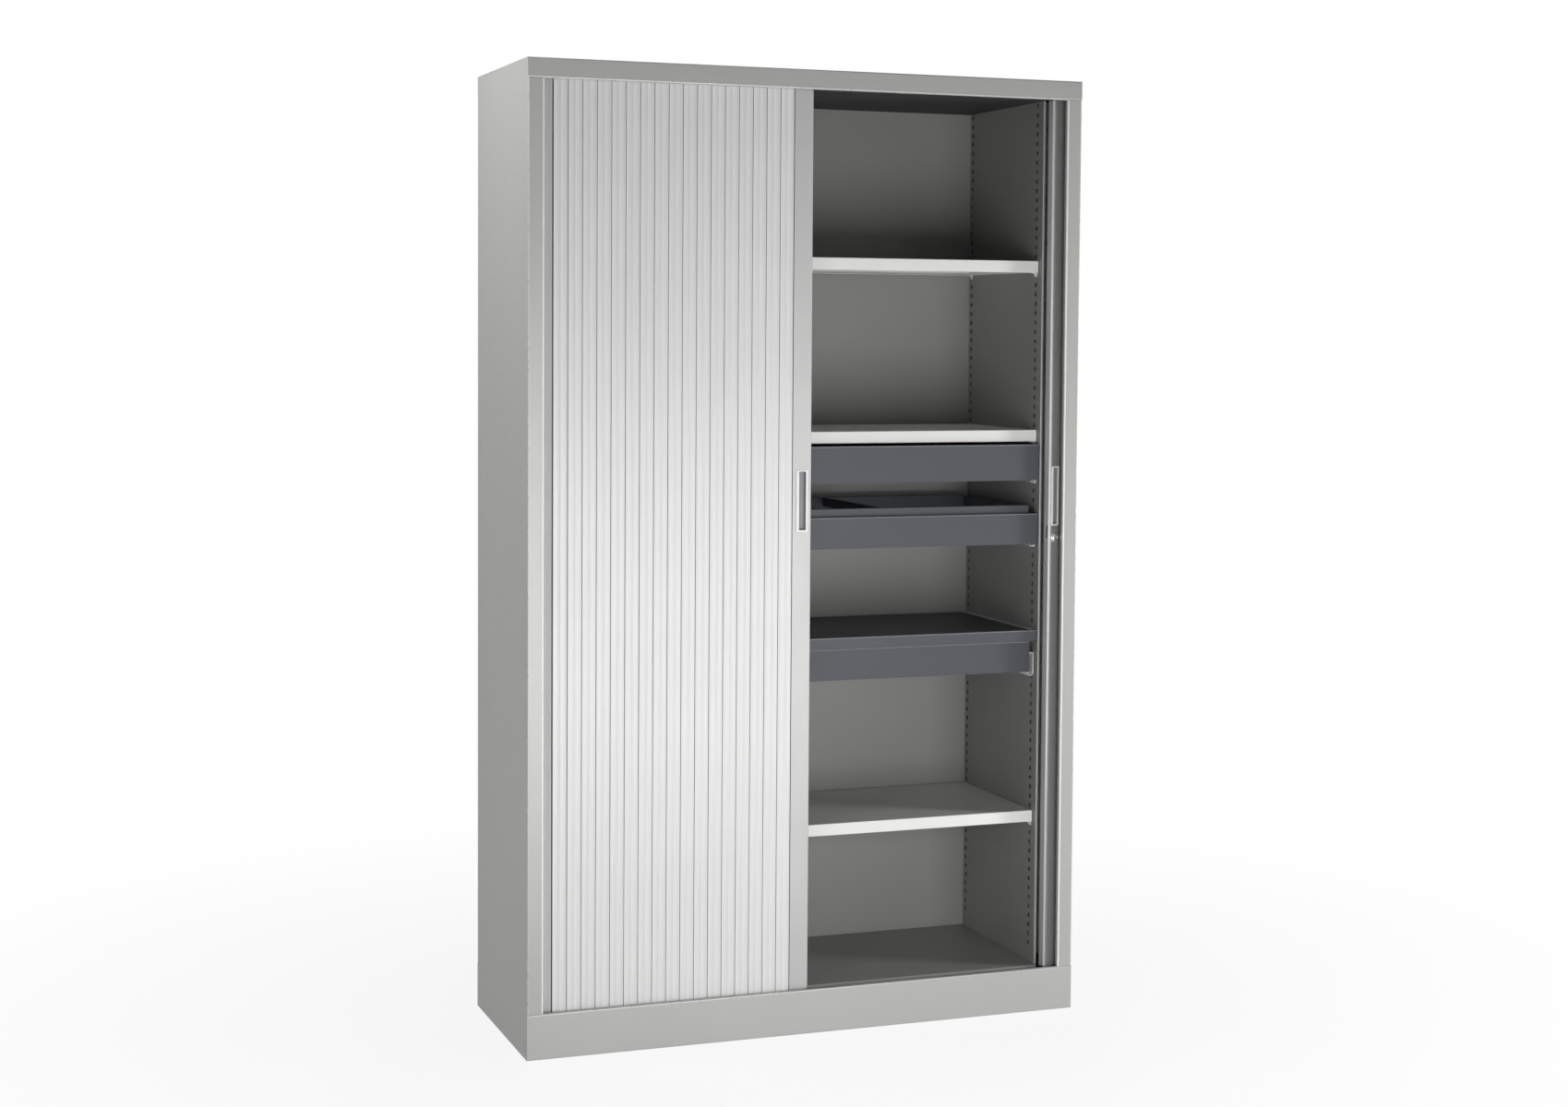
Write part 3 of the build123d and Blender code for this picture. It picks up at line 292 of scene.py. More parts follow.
def new_object(name, points, faces, material, body, nodes, slot, others=(), marks=()):
    """A mesh piece in the place of these CAD nodes, with hard edges where its faces turn.

    A face's mark says which material it takes: 0 the first, and then the others in turn.
    A piece without a body is attached to none.
    """
    mesh = bpy.data.meshes.new(name)
    mesh.from_pydata(points, [], faces)
    for one in (material, *others):
        mesh.materials.append(one)
    if others:
        marks = list(marks) + [0] * (len(faces) - len(marks))
        mesh.polygons.foreach_set("material_index", marks)
    bm = bmesh.new()
    bm.from_mesh(mesh)
    bmesh.ops.remove_doubles(bm, verts=bm.verts, dist=SAME_POINT)
    bmesh.ops.recalc_face_normals(bm, faces=bm.faces)
    for face in bm.faces:
        face.smooth = True
    for edge in bm.edges:
        if edge.is_manifold and edge.calc_face_angle(0.0) > HARD_EDGE:
            edge.smooth = False
    bm.to_mesh(mesh)
    bm.free()
    obj = bpy.data.objects.new(name, mesh)
    bpy.context.scene.collection.objects.link(obj)
    if body:
        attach(obj, body)
    if nodes:
        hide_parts(*nodes)
    if material is not SLAT:
        obj.modifiers.new("normals", "WEIGHTED_NORMAL").keep_sharp = True
    return obj


def prism(section, to_point, low, high):
    """Points and faces of a section drawn out between two levels."""
    count = len(section)
    points = [to_point(a, b, level) for level in (low, high) for a, b in section]
    faces = [tuple(range(count)), tuple(reversed(range(count, 2 * count)))]
    for i in range(count):
        j = (i + 1) % count
        faces.append((i, count + i, count + j, j))
    return points, faces


def joined(parts):
    """Several lots of points and faces as one."""
    points, faces = [], []
    for some_points, some_faces in parts:
        base = len(points)
        points += some_points
        faces += [tuple(base + i for i in face) for face in some_faces]
    return points, faces


def block(low, high):
    """A box between two corners."""
    section = [(low[0], low[1]), (high[0], low[1]), (high[0], high[1]), (low[0], high[1])]
    return prism(section, place, low[2], high[2])


def bent(outline, sheet, radius, steps=5):
    """The section of a bent sheet: an open outline with rounded bends, and its offset.

    The offset lies to the right of the outline as it runs.
    """
    near, far = [], []
    for i, corner in enumerate(outline):
        corner = Vector(corner)
        before = (corner - Vector(outline[i - 1])).normalized() if i else None
        after = (
            (Vector(outline[i + 1]) - corner).normalized() if i + 1 < len(outline) else None
        )
        if before is None or after is None:
            along = after if before is None else before
            across = Vector((along.y, -along.x))
            near.append(corner)
            far.append(corner + across * sheet)
            continue
        turn = before.x * after.y - before.y * after.x
        inwards = Vector((-before.y, before.x)) if turn > 0 else Vector((before.y, -before.x))
        bend = radius if turn < 0 else max(radius - sheet, LEAST_BEND)
        angle = before.angle(after)
        centre = corner - before * bend * math.tan(angle / 2) + inwards * bend
        for step in range(steps + 1):
            share = angle * step / steps
            spin = share if turn > 0 else -share
            arm = -inwards
            arm = Vector(
                (
                    arm.x * math.cos(spin) - arm.y * math.sin(spin),
                    arm.x * math.sin(spin) + arm.y * math.cos(spin),
                )
            )
            near.append(centre + arm * bend)
            far.append(centre + arm * (bend - sheet if turn < 0 else bend + sheet))
    return [tuple(p) for p in near + far[::-1]]


def bend_marks(outline, bends, steps=5):
    """Marks for the prism of a bent sheet, on the outer faces of the bends given."""
    marks = [0] * (4 + (len(outline) - 2) * (steps + 1))
    for bend, mark in bends.items():
        first = 3 + bend * (steps + 1)
        marks[first : first + steps] = [mark] * steps
    return marks


# Shutters: the lane is the line of the slats' hinges, from the middle of the front round two
# corners to the back. It is given for the right-hand shutter, as across and behind the front.

HALF_LANE = 590.0
LANE_REAR = 419.0
LANE_Y = 19.5
RADIUS = 56.0
ARC_X = HALF_LANE - RADIUS
FRONT_ARC = LANE_Y + RADIUS
REAR_ARC = LANE_REAR - RADIUS
ARC = RADIUS * math.pi / 2
SIDE_RUN = REAR_ARC - FRONT_ARC
PITCH = 29.6
SLATS = 18
SLAT_LOW, SLAT_HIGH = 78.0, 1954.0
CLOSED_HINGE = 42.0
OPEN_PIVOT = 541.7
HINGE_ARM = 35.0
TILT = math.radians(26.7687)
HINGE_ROUNDS, FOLD_ROUNDS = 12, 50


def lane_point(distance):
    """Point of the right-hand lane at a distance from the middle of the front."""
    if distance <= ARC_X:
        return distance, LANE_Y
    distance -= ARC_X
    if distance <= ARC:
        turn = distance / RADIUS
        return ARC_X + RADIUS * math.sin(turn), FRONT_ARC - RADIUS * math.cos(turn)
    distance -= ARC
    if distance <= SIDE_RUN:
        return HALF_LANE, FRONT_ARC + distance
    distance -= SIDE_RUN
    if distance <= ARC:
        turn = distance / RADIUS
        return ARC_X + RADIUS * math.cos(turn), REAR_ARC + RADIUS * math.sin(turn)
    return ARC_X - (distance - ARC), LANE_REAR


def hinge_stations(distance):
    """Distances along the lane of a shutter's hinges, each a straight pitch from the last."""
    stations = [distance]
    for _ in range(SLATS):
        here = lane_point(distance)
        step = PITCH
        for _ in range(HINGE_ROUNDS):
            there = lane_point(distance + step)
            step += PITCH - math.hypot(there[0] - here[0], there[1] - here[1])
        distance += step
        stations.append(distance)
    return stations


# One slat, seen from its end, measured along the lane and outwards from its hinge line
RIDGE, RIDGE_EDGE, FLUTE_STEPS = 0.45, 0.12, 14
OUTER_EDGE = 0.35
BEAD_RADIUS, LEG_NEAR, LEG_FAR = 1.2, 3.4, 4.6


def slat_section():
    """Two shallow flutes in front, a bead on a leg at one edge and jaws at the other."""
    crest, flute, wall, gap = 5.3, 4.4, 3.2, 0.5
    half = PITCH / 2
    front = []
    for start, end in ((gap, half), (half, PITCH - gap)):
        middle, chord = (start + end) / 2, (end - start) / 2 - RIDGE
        sag = crest - flute
        bow = (chord * chord + sag * sag) / (2 * sag)
        front.append((start + RIDGE_EDGE, crest - RIDGE_EDGE))
        for i in range(FLUTE_STEPS + 1):
            across = chord * (2 * i / FLUTE_STEPS - 1)
            front.append((middle + across, flute + bow - math.sqrt(bow**2 - across**2)))
        front.append((end - RIDGE_EDGE, crest - RIDGE_EDGE))
    front[0] = (gap, crest - OUTER_EDGE)
    front[-1] = (PITCH - gap, crest - OUTER_EDGE)
    pocket, outside = 1.5, 2.7
    jaws = [
        (PITCH - gap, outside),
        (PITCH + pocket, outside - 0.2),
        (PITCH + pocket + 0.9, 0.85),
        (PITCH + pocket - 0.5, 0.85),
        (PITCH + pocket - 0.5, pocket),
        (PITCH - pocket, pocket),
        (PITCH - pocket, -pocket),
        (PITCH + 0.9, -pocket),
        (PITCH + 0.9, -outside),
        (PITCH - outside, -outside),
        (PITCH - outside, wall),
        (LEG_FAR, wall),
        (LEG_FAR, -0.5),
    ]
    bead = [
        (BEAD_RADIUS * math.cos(math.radians(a)), BEAD_RADIUS * math.sin(math.radians(a)))
        for a in range(-25, -336, -31)
    ]
    leg = [(LEG_NEAR, 0.5), (LEG_NEAR, wall), (gap, wall)]
    return front + jaws + bead + leg


SECTION = slat_section()
# The sides that face into the joints between slats take the second material, a painted shade
FRONT_POINTS = 2 * (FLUTE_STEPS + 3)
JOINT_SIDES = (FRONT_POINTS - 1, FRONT_POINTS, len(SECTION) - 1)
SLAT_MARKS = [0, 0] + [int(side in JOINT_SIDES) for side in range(len(SECTION))]


def slats(stations, hand=1):
    """Points, faces and marks of a run of slats; hand is -1 for the left shutter."""
    parts = []
    for start, end in zip(stations, stations[1:]):
        here, there = lane_point(start), lane_point(end)
        along = Vector((there[0] - here[0], there[1] - here[1])).normalized()
        outwards = Vector((along.y, -along.x))
        origin = Vector(here)

        def to_point(a, b, level):
            spot = origin + along * a + outwards * b
            return place(hand * spot.x, spot.y, level)

        parts.append(prism(SECTION, to_point, SLAT_LOW, SLAT_HIGH))
    return *joined(parts), SLAT_MARKS * len(parts)


def curtain(name, points, faces, marks, body, nodes):
    """A run of slats as one piece."""
    return new_object(
        name, points, faces, SLAT, body, nodes, "shutter_plastic", others=[JOINT_SHADE], marks=marks
    )


closed = hinge_stations(CLOSED_HINGE)
corner_from = sum(1 for station in closed if station < ARC_X)
open_hinge_x = OPEN_PIVOT + HINGE_ARM * math.cos(TILT)
stored = hinge_stations(ARC_X + RADIUS * math.asin((open_hinge_x - ARC_X) / RADIUS))
side_end = sum(1 for station in stored if station < ARC_X + ARC + SIDE_RUN)

for label, run, node in (
    ("left_front_curtain", closed[: corner_from + 1], "left_front_slats"),
    ("left_corner_curtain", closed[corner_from:], "left_corner_slats"),
):
    piece = curtain(label, *slats(run, -1), "root", [node])
    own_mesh(piece)

side_run, rear_run = stored[: side_end + 1], stored[side_end:]
piece = curtain("right_side_curtain", *slats(side_run), "root", ["right_side_slats"])
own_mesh(piece)
piece = curtain("right_rear_curtain", *slats(rear_run), "root", ["right_rear_slats"])
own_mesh(piece)

# The right shutter's front, folded up behind the flange
FOLD_START, FOLD_END = 0.584, 0.5755


def folded_x(final):
    """Where on the fold a point waits that ends at this X after the eased travel."""
    low, high = 0.0, 1.0
    for _ in range(FOLD_ROUNDS):
        t = (low + high) / 2
        reach = FOLD_START + t * (FOLD_END - FOLD_START) - TRAVEL * t * t * (3 - 2 * t)
        if reach > final:
            low = t
        else:
            high = t
    return FOLD_START + (low + high) / 2 * (FOLD_END - FOLD_START)


points, faces, marks = slats(closed)
points = [Vector((folded_x(p.x), p.y, p.z)) for p in points]
piece = curtain("right_front_curtain", points, faces, marks, None, [])
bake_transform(piece)

# Handles and lock

STILE_FACE = -6.5
CLOSED_PIVOT = 7.0
HANDLE_STEPS, LOCK_STEPS = 5, 8


class StilePlace:
    """Points in a stile's own frame: across from its pivot, out from its face, and height."""

    def __init__(self, pivot_x, tilt, hand):
        self.pivot_x, self.hand = pivot_x, hand
        self.turn = (math.cos(tilt), math.sin(tilt))

    def at(self, across, out, height):
        c, s = self.turn
        rear = STILE_FACE - out
        x = self.pivot_x + across * c - rear * s
        return place(self.hand * x, LANE_Y + across * s + rear * c, height)


def rounded(half_a, half_b, radius, steps, shift=0.0):
    """A rounded rectangle as a ring of points; a circle where the sides equal the radius."""
    ring = []
    for quarter, (a, b) in enumerate(((1, 1), (-1, 1), (-1, -1), (1, -1))):
        for step in range(steps + 1):
            turn = math.radians(90 * (quarter + step / steps))
            ring.append(
                (
                    shift + a * (half_a - radius) + radius * math.cos(turn),
                    b * (half_b - radius) + radius * math.sin(turn),
                )
            )
    return ring


def lofted(rings, capped=True):
    """Points and faces of a skin through rings, with its ends closed or joined to each other."""
    count = len(rings[0])
    points = [point for ring in rings for point in ring]
    faces = []
    for k in range(len(rings) - (1 if capped else 0)):
        here, there = k * count, (k + 1) % len(rings) * count
        for i in range(count):
            j = (i + 1) % count
            faces.append((here + i, here + j, there + j, there + i))
    if capped:
        faces += [tuple(range(count)), tuple(range(len(points) - count, len(points)))]
    return points, faces


HANDLE_ACROSS, HANDLE_UP = 14.25, 1103.5
BEZEL = (12.3, 63.5, 2.0)
HANDLE_RINGS = (
    # half width, half length, corner, sideways shift, distance out of the stile's face
    (10.3, 61.5, 1.0, 0.0, -9.5),
    (10.3, 61.5, 1.0, 0.0, 0.0),
    (*BEZEL, 0.0, 0.0),
    (*BEZEL, 0.0, 1.1),
    (11.95, 63.15, 1.8, 0.0, 1.6),
    (11.4, 62.6, 1.5, 0.0, 1.8),
    (8.0, 60.5, 1.5, -0.8, 1.8),
    (7.5, 60.0, 1.2, -0.8, 1.5),
    (7.4, 59.9, 1.2, -0.8, 0.6),
    (6.6, 58.6, 1.6, -0.8, -7.2),
    (5.6, 57.6, 1.6, -0.8, -8.1),
)
RECESS_SHADE_FROM = 8  # the ring at which the recess's painted shade begins
for label, spot in (
    ("left", StilePlace(CLOSED_PIVOT, 0.0, -1)),
    ("right", StilePlace(OPEN_PIVOT, TILT, 1)),
):
    rings = [
        [
            spot.at(HANDLE_ACROSS + a, out, HANDLE_UP + b)
            for a, b in rounded(*size, HANDLE_STEPS, shift)
        ]
        for *size, shift, out in HANDLE_RINGS
    ]
    points, faces = lofted(rings)
    per_ring = len(rings[0])
    marks = [int(i // per_ring >= RECESS_SHADE_FROM) for i in range(len(faces) - 2)] + [0, 1]
    new_object(
        label + "_handle_moulded", points, faces, GRIP, label + "_leading_stile",
        [label + "_handle"], "handle_plastic", others=[RECESS_SHADE], marks=marks,
    )

LOCK_ACROSS, LOCK_UP = 12.5, 1014.6
lock_place = StilePlace(OPEN_PIVOT, TILT, 1)


def lock_ring(half_a, half_b, radius, out):
    """A ring of points round the lock's middle, this far out of the stile's face."""
    return [
        lock_place.at(LOCK_ACROSS + a, out, LOCK_UP + b)
        for a, b in rounded(half_a, half_b, radius, LOCK_STEPS)
    ]


# Radius and distance out of the stile's face
HOUSING_RINGS = (
    (5.6, -4.6), (6.4, -4.6), (6.4, 0.0), (9.6, 0.0), (9.6, 0.9), (9.3, 1.4), (8.9, 1.7),
    (8.8, 4.7), (8.3, 5.4), (7.5, 5.7), (6.5, 5.5), (5.6, 5.0),
)
# Half width, half height, corner, distance out of the stile's face
PLUG_RINGS = (
    (5.5, 5.5, 5.5, -5.0),
    (5.5, 5.5, 5.5, 4.2),
    (5.0, 5.0, 5.0, 4.7),
    (0.8, 3.6, 0.5, 4.7),
    (0.8, 3.6, 0.5, 2.6),
)
housing = [lock_ring(radius, radius, radius, out) for radius, out in HOUSING_RINGS]
new_object(
    "lock_housing_turned", *lofted(housing, capped=False), CHROME, "right_leading_stile",
    ["lock_housing"], "lock_chrome",
)
plug = [lock_ring(*ring) for ring in PLUG_RINGS]
new_object("lock_plug_keyed", *lofted(plug), CHROME, "lock", ["lock_plug"], "lock_chrome")

# Liners

LINER_OUTLINE = [(534.5, 38.5), (530, 38.5), (530, 410.3), (540, 410.3)]
LINER_LOW, LINER_HIGH = 92.2, 1939.8
HEM_DEPTH = 41.0
SLOT_SIDES = (64.5, 71.5, 392.5, 399.5)
SLOT_ROWS, FIRST_SLOT, SLOT_PITCH, HALF_SLOT = 91, 132, 20, 4

near = bent(LINER_OUTLINE, 1.0, 1.6, 4)
near = near[: len(near) // 2]
walls = []
for (x0, y0), (_, y1) in zip(near, near[1:]):
    walls.append((x0, y0))
    if y0 < SLOT_SIDES[0] and y1 > SLOT_SIDES[-1]:
        walls += [(x0, y) for y in SLOT_SIDES]
walls.append(near[-1])
levels = [LINER_LOW]
for row in range(SLOT_ROWS):
    middle = FIRST_SLOT + SLOT_PITCH * row
    levels += [middle - HALF_SLOT, middle + HALF_SLOT]
levels.append(LINER_HIGH)
columns = len(walls)
for label, hand in (("right_liner", 1), ("left_liner", -1)):
    points = [place(hand * x, y, z) for z in levels for x, y in walls]
    faces, marks = [], []
    for k in range(len(levels) - 1):
        for i in range(columns - 1):
            is_slot = k % 2 == 1 and walls[i][1] in (SLOT_SIDES[0], SLOT_SIDES[2])
            if not is_slot:
                base = k * columns + i
                faces.append((base, base + 1, base + 1 + columns, base + columns))
                marks.append(int(max(walls[i][1], walls[i + 1][1]) < HEM_DEPTH))
    # The hem takes the lit silver paint and the rest of the wall its darker copy, which is
    # painted shade
    liner = new_object(
        label + "_slotted", points, faces, SHADED_INSIDE, "root", [label], "painted_steel",
        others=[STEEL, TRACK_BLACK_AND_SLOT_SHADE], marks=marks,
    )
    # The slots' rims take black: painted shade inside the slots
    thick = liner.modifiers.new("sheet", "SOLIDIFY")
    thick.thickness = MM
    thick.offset = -1
    thick.material_offset_rim = 2
    hard = liner.modifiers.new("hard_edges", "EDGE_SPLIT")
    hard.split_angle = SHARP

# Carcass: folded sheets with rounded bends

HALF, INNER_SIDE, DEEP, HIGH = 600.0, 598.8, 430.0, 1980.0
FOLD_HALF = 599.9
SHEET, BEND = 1.2, 3.0
PLINTH, RAIL = 92.0, 1940.0
SIDE_LOW, SIDE_HIGH = PLINTH + 0.2, RAIL - 0.2
REAR_FLANGE, FRONT_FLANGE = 585, 567
WALL_FRONT, WALL_REAR, WALL_TOP = 1.4, 428.8, 1978.6


def along_x(a, b, level):
    """A section in depth and height, drawn out in X."""
    return place(level, a, b)


def along_depth(a, b, level):
    """A section in X and height, drawn out in depth."""
    return place(a, level, b)


TOP_OUTLINE = [(8, RAIL), (0, RAIL), (0, HIGH), (DEEP, HIGH), (DEEP, RAIL)]
top_fold = bent(TOP_OUTLINE, SHEET, BEND)
# The rail's lower bend takes the painted highlight
new_object(
    "top_with_rail", *prism(top_fold, along_x, -FOLD_HALF, FOLD_HALF), STEEL, "root",
    ["top_panel"], "painted_steel", others=[BEND_HIGHLIGHT], marks=bend_marks(TOP_OUTLINE, {0: 1}),
)
PLINTH_OUTLINE = [(12, 0), (0, 0), (0, PLINTH), (8, PLINTH)]
plinth_fold = bent(PLINTH_OUTLINE, SHEET, BEND)
# The plinth takes the lighter copy of the silver paint, painted light, and its top bend a painted
# highlight
new_object(
    "plinth_folded", *prism(plinth_fold, along_x, -FOLD_HALF, FOLD_HALF), PLINTH_LIT_PAINT, "root",
    ["plinth"], "painted_steel", others=[BEND_HIGHLIGHT], marks=bend_marks(PLINTH_OUTLINE, {1: 1}),
)
SIDE_OUTLINE = [
    (REAR_FLANGE, DEEP), (HALF, DEEP), (HALF, 0), (FRONT_FLANGE, 0), (FRONT_FLANGE, 11)
]
side_fold = bent(SIDE_OUTLINE, SHEET, BEND)
for label, hand in (("right_side_panel", 1), ("left_side_panel", -1)):

    def upright(a, b, level):
        return place(hand * a, b, level)

    def wall(x0, v0, w0, x1, v1, w1):
        left, right = sorted((hand * x0, hand * x1))
        return block((left, v0, w0), (right, v1, w1))

    panel = joined(
        [
            prism(side_fold, upright, SIDE_LOW, SIDE_HIGH),
            wall(INNER_SIDE, WALL_FRONT, 0, HALF, WALL_REAR, SIDE_LOW),
            wall(REAR_FLANGE, WALL_REAR, 0, HALF, DEEP, SIDE_LOW),
            wall(INNER_SIDE, WALL_FRONT, SIDE_HIGH, HALF, WALL_REAR - 0.2, WALL_TOP),
        ]
    )
    # The front corner bend takes the lighter silver and the lip's bend the near-white, both
    # painted highlights
    new_object(
        label + "_folded", *panel, STEEL, "root", [label], "painted_steel",
        others=[BEND_HIGHLIGHT, LIP_HIGHLIGHT], marks=bend_marks(SIDE_OUTLINE, {1: 1, 2: 2}),
    )

# Shelves and fronts

SHELF_HIGH, SHELF_HALF = 25, 528.8
SHELF_FRONT, SHELF_BACK, SHELF_RETURN = 55, 404.5, 12

for label, low in (("lower_shelf", 398), ("middle_shelf", 1218), ("upper_shelf", 1578)):
    high = low + SHELF_HIGH
    outline = [
        (SHELF_FRONT + SHELF_RETURN, low), (SHELF_FRONT, low), (SHELF_FRONT, high),
        (SHELF_BACK, high), (SHELF_BACK, low), (SHELF_BACK - SHELF_RETURN, low),
    ]
    shelf = [prism(bent(outline, 1.0, 1.8), along_x, -SHELF_HALF, SHELF_HALF)]
    for x in (-SHELF_HALF, SHELF_HALF - 1):
        shelf.append(block((x, 55.6, low + 0.4), (x + 1, 404, high - 0.8)))
    new_object(label + "_folded", *joined(shelf), SHELF, "root", [label], "painted_steel")

BODY_HALF = 513.0
PULL_OUT_FACE, PULL_OUT_BACK = 38.5, 390.5
FASCIA_HALF, FASCIA_RETURN = 528.0, 12


def fascia(face, bottom, height, half=FASCIA_HALF):
    """A pull-out's front: a sheet folded back at its top and bottom."""
    top, rear = bottom + height, face + FASCIA_RETURN
    fold = bent([(face, bottom), (face, top), (rear, top)], 1.0, 2.2)
    return [
        prism(fold, along_x, -half, half),
        block((-BODY_HALF, face + 1, bottom), (BODY_HALF, rear, bottom + 1)),
    ]


def pull_out(name, parts, node):
    """A pull-out's sheets; the fascia comes first, and its top bend takes the lighter tone, a
    painted highlight.
    """
    new_object(
        name, *joined(parts), DARK, "root", [node], "anthracite_steel",
        others=[DARK_BEND_HIGHLIGHT], marks=bend_marks([0, 0, 0], {0: 1}),
    )


pull_out("tray_front_folded", fascia(PULL_OUT_FACE, 1136, 76.5), "tray_front")

FRAME_SHEET, FRAME_BEND, FRAME_FLANGE = 1.5, 2.0, 10
FRAME_FRONT, FRAME_ARM = 65.5, 64.4
CROSS_RAIL_X, CROSS_RAIL_HIGH, CROSS_RAIL_HALF = 171, 20, 5


def channel(x0, x1, v0, v1, low, high):
    """Four upright sheets round an opening, each with a rounded flange pointing inwards."""
    sheet, reach = FRAME_SHEET, FRAME_FLANGE
    parts = []
    for v, turn in ((v0, 1), (v1, -1)):
        outline = [(v, low), (v, high), (v + turn * reach, high)]
        parts.append(prism(bent(outline[::turn], sheet, FRAME_BEND), along_x, x0, x1))
    for x, turn in ((x0, 1), (x1, -1)):
        outline = [(x, low), (x, high), (x + turn * reach, high)]
        fold = bent(outline[::turn], sheet, FRAME_BEND)
        parts.append(prism(fold, along_depth, v0 + reach, v1 - reach))
        left, right = sorted((x, x + turn * sheet))
        for near, far in ((v0 + sheet, v0 + reach), (v1 - reach, v1 - sheet)):
            parts.append(block((left, near, low), (right, far, high - sheet)))
    return parts


def filing_frame(face, fascia_bottom, bottom, top, half):
    """An open frame with a rounded top flange, its cross rails and its front."""
    sheet, flange = FRAME_SHEET, FRAME_FLANGE
    cross, back = face + 14, PULL_OUT_BACK
    arm_top, rail_top = fascia_bottom + FRAME_ARM, top - sheet
    parts = channel(-BODY_HALF, BODY_HALF, cross, back, bottom, top)
    for x in (-BODY_HALF, BODY_HALF - sheet):
        parts.append(block((x, face + 1, bottom + 1), (x + sheet, cross, arm_top)))
    for middle in (-CROSS_RAIL_X, CROSS_RAIL_X):
        left, right = middle - sheet / 2, middle + sheet / 2
        parts.append(
            block((left, cross + sheet, top - CROSS_RAIL_HIGH), (right, back - sheet, rail_top))
        )
        left, right = middle - CROSS_RAIL_HALF, middle + CROSS_RAIL_HALF
        parts.append(block((left, cross + flange, rail_top), (right, back - flange, top)))
    return fascia(face, fascia_bottom, FRAME_FRONT, half) + parts


for label, *sizes in (
    ("upper_filing_frame", 42, 999.5, 1004, 1082.5, FASCIA_HALF),
    ("lower_filing_frame", 55, 723.5, 724, 789, 518.5),
):
    pull_out(label + "_folded", filing_frame(*sizes), label)

low, high = 791, 814
shelf = fascia(PULL_OUT_FACE, low, 24) + [
    block((-BODY_HALF, 50.5, high), (BODY_HALF, PULL_OUT_BACK, high + 1)),
    block((-BODY_HALF, PULL_OUT_BACK - 1, low), (BODY_HALF, PULL_OUT_BACK, high)),
]
for x in (-BODY_HALF, BODY_HALF - 1):
    shelf.append(block((x, PULL_OUT_FACE + 1, low + 1), (x + 1, PULL_OUT_BACK - 1, high)))
pull_out("reference_shelf_folded", shelf, "reference_shelf")

# Zinc lips of the outer runners, seen under the two upper fronts; their white is partly the
# zinc's own, partly a painted highlight
LIP_OUTER, LIP_INNER, LIP_LONG = 527.5, 516.0, 24
for label, start, low in (
    ("tray_runner_lips", 52.0, 1129.0),
    ("upper_runner_lips", 55.0, 992.0),
):
    hook = bent([(LIP_OUTER, low + 9), (LIP_OUTER, low), (LIP_INNER, low + 2.5)], 1.2, 1.4, 4)
    parts = []
    for hand in (-1, 1):

        def lip_point(a, b, level):
            return place(hand * a, level, b)

        parts.append(prism(hook, lip_point, start, start + LIP_LONG))
    new_object(label, *joined(parts), ZINC_WITH_HIGHLIGHT, "root", [], "zinc_steel")

# Camera, fitted to the cupboard's straight edges

WIDTH_PX, HEIGHT_PX = 1699, 1200
FOCAL_PX = 2656.9
CENTRE_PX = (849.5, 494.4)
SENSOR_MM = 36.0
EYE = (-1.786, -4.886, 1.452)
yaw, pitch, roll = (math.radians(a) for a in (20.22, 2.94, -0.38))
forward = Vector(
    (math.sin(yaw) * math.cos(pitch), math.cos(yaw) * math.cos(pitch), -math.sin(pitch))
)
right = Vector((math.cos(yaw), -math.sin(yaw), 0.0))
down = forward.cross(right)
right_rolled = math.cos(roll) * right + math.sin(roll) * down
down_rolled = -math.sin(roll) * right + math.cos(roll) * down
camera_data = bpy.data.cameras.new("camera")
camera_data.sensor_width = SENSOR_MM
camera_data.lens = FOCAL_PX / WIDTH_PX * SENSOR_MM
camera_data.shift_x = (WIDTH_PX / 2 - CENTRE_PX[0]) / WIDTH_PX
camera_data.shift_y = (CENTRE_PX[1] - HEIGHT_PX / 2) / WIDTH_PX
camera_data.clip_start = 0.05
camera_data.clip_end = 60
camera = bpy.data.objects.new("camera", camera_data)
bpy.context.scene.collection.objects.link(camera)
camera.matrix_world = Matrix(
    (
        (right_rolled.x, -down_rolled.x, -forward.x, EYE[0]),
        (right_rolled.y, -down_rolled.y, -forward.y, EYE[1]),
        (right_rolled.z, -down_rolled.z, -forward.z, EYE[2]),
        (0, 0, 0, 1),
    )
)
bpy.context.scene.camera = camera

# Studio

FLOOR_REACH, FLOOR_LEVEL = 30, -0.001
# Where the floor runs out into plain white, in metres from its middle, and its glow before that
PAPER_FROM, PAPER_TO, PAPER_WHITE = 0.7, 2.2, 0.88
AMBIENT = 0.09


def plane(name, corners, material):
    """A flat backdrop, which isn't part of the object."""
    mesh = bpy.data.meshes.new(name)
    mesh.from_pydata(corners, [], [(0, 1, 2, 3)])
    obj = bpy.data.objects.new(name, mesh)
    bpy.context.scene.collection.objects.link(obj)
    obj.data.materials.append(material)
    obj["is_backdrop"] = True


def studio_floor(name, albedo):
    """White paper near the object, where it keeps the shadow, running out into plain white."""
    s = Shader(name, (albedo,) * 3, 0.9)
    grain = s.spread(s.noise(3.0, 2.0))
    s.colour(s.mix(grain, (albedo,) * 3, (albedo * 0.985,) * 3))
    length = s.node("ShaderNodeVectorMath", operation="LENGTH")
    s.links.new(s.coords, length.inputs[0])
    far = s.span(length.outputs["Value"], PAPER_FROM, PAPER_TO, PAPER_WHITE, 1.0)
    seen = seen_rays(s.nodes, s.links)
    glow = s.node("ShaderNodeEmission")
    blend = s.node("ShaderNodeMixShader")
    s.links.new(s.math("MULTIPLY", far, seen), blend.inputs[0])
    s.links.new(s.bsdf.outputs[0], blend.inputs[1])
    s.links.new(glow.outputs[0], blend.inputs[2])
    s.links.new(blend.outputs[0], s.nodes["Material Output"].inputs["Surface"])
    return s.material


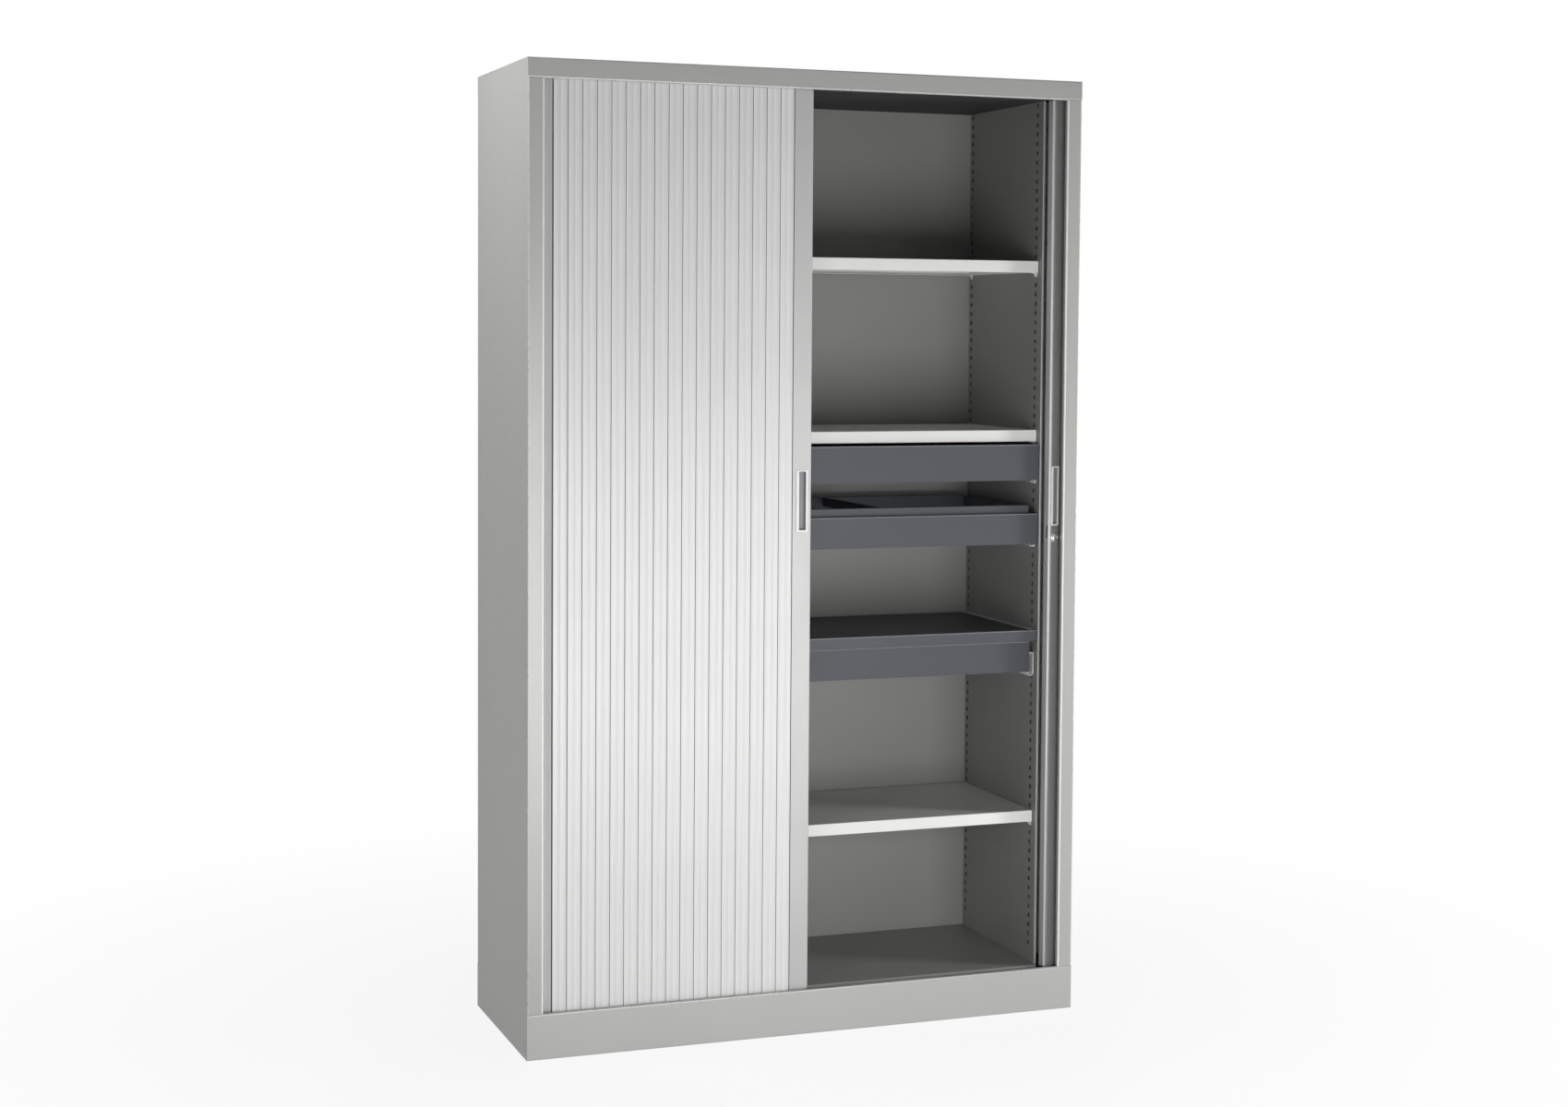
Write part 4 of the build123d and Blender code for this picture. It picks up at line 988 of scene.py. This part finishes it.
def seen_rays(nodes, links):
    """1 for the rays that see the background as it is: straight, mirrored or through glass."""
    path = nodes.new("ShaderNodeLightPath")
    value = path.outputs["Is Camera Ray"]
    for other in ("Is Glossy Ray", "Is Transmission Ray"):
        larger = nodes.new("ShaderNodeMath")
        larger.operation = "MAXIMUM"
        links.new(value, larger.inputs[0])
        links.new(path.outputs[other], larger.inputs[1])
        value = larger.outputs[0]
    return value


floor_corners = [
    (a * FLOOR_REACH, b * FLOOR_REACH, FLOOR_LEVEL)
    for a, b in ((-1, -1), (1, -1), (1, 1), (-1, 1))
]
plane("floor", floor_corners, studio_floor("floor_white", 0.86))

# The world: white where it is seen at eye level, a dim light on the object, less overhead
world = bpy.data.worlds.new("studio")
bpy.context.scene.world = world
world.use_nodes = True
nodes, links = world.node_tree.nodes, world.node_tree.links
background = nodes["Background"]
direction = nodes.new("ShaderNodeSeparateXYZ")
links.new(nodes.new("ShaderNodeTexCoord").outputs["Generated"], direction.inputs[0])
fade = nodes.new("ShaderNodeMapRange")
fade.interpolation_type = "SMOOTHSTEP"
for key, number in (("From Min", 0.16), ("From Max", 0.55), ("To Min", 1.0), ("To Max", 0.35)):
    fade.inputs[key].default_value = number
links.new(direction.outputs["Z"], fade.inputs["Value"])
links.new(fade.outputs["Result"], background.inputs["Color"])
level = nodes.new("ShaderNodeMix")
level.data_type = "FLOAT"
links.new(seen_rays(nodes, links), level.inputs[0])
level.inputs[2].default_value = AMBIENT
level.inputs[3].default_value = 1.0
links.new(level.outputs[0], background.inputs["Strength"])


def lamp(name, where, aim, size, power):
    """An area lamp in metres and watts, turned to shine at a point."""
    data = bpy.data.lights.new(name, "AREA")
    data.shape = "RECTANGLE"
    data.size, data.size_y = size
    data.energy = power
    obj = bpy.data.objects.new(name, data)
    bpy.context.scene.collection.objects.link(obj)
    obj.location = where
    obj.rotation_mode = "QUATERNION"
    obj.visible_camera = False
    obj.rotation_quaternion = (Vector(aim) - Vector(where)).to_track_quat("-Z", "Y")


lamp("key", (0.05, -2.6, 0.6), (0.05, -0.2, 0.75), (2.1, 1.2), 38.5)
lamp("left", (-2.2, -1.9, 0.9), (-0.5, -0.15, 0.9), (0.7, 1.6), 9.5)
lamp("top_left", (-1.35, -0.1, 2.35), (-0.6, 0, 1.75), (0.5, 0.5), 9)
lamp("right", (2.6, -1.3, 0.9), (0.3, -0.2, 0.8), (0.5, 1.5), 36)
lamp("back", (1.3, 2.6, 1.5), (0.0, 0.2, 1.0), (1.0, 1.4), 24)
lamp("top", (0.0, 0.05, 3.2), (0.0, 0.05, 2.0), (0.9, 0.25), 7)
bpy.context.scene.view_settings.view_transform = "Standard"

# The box of the visual model

low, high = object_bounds()
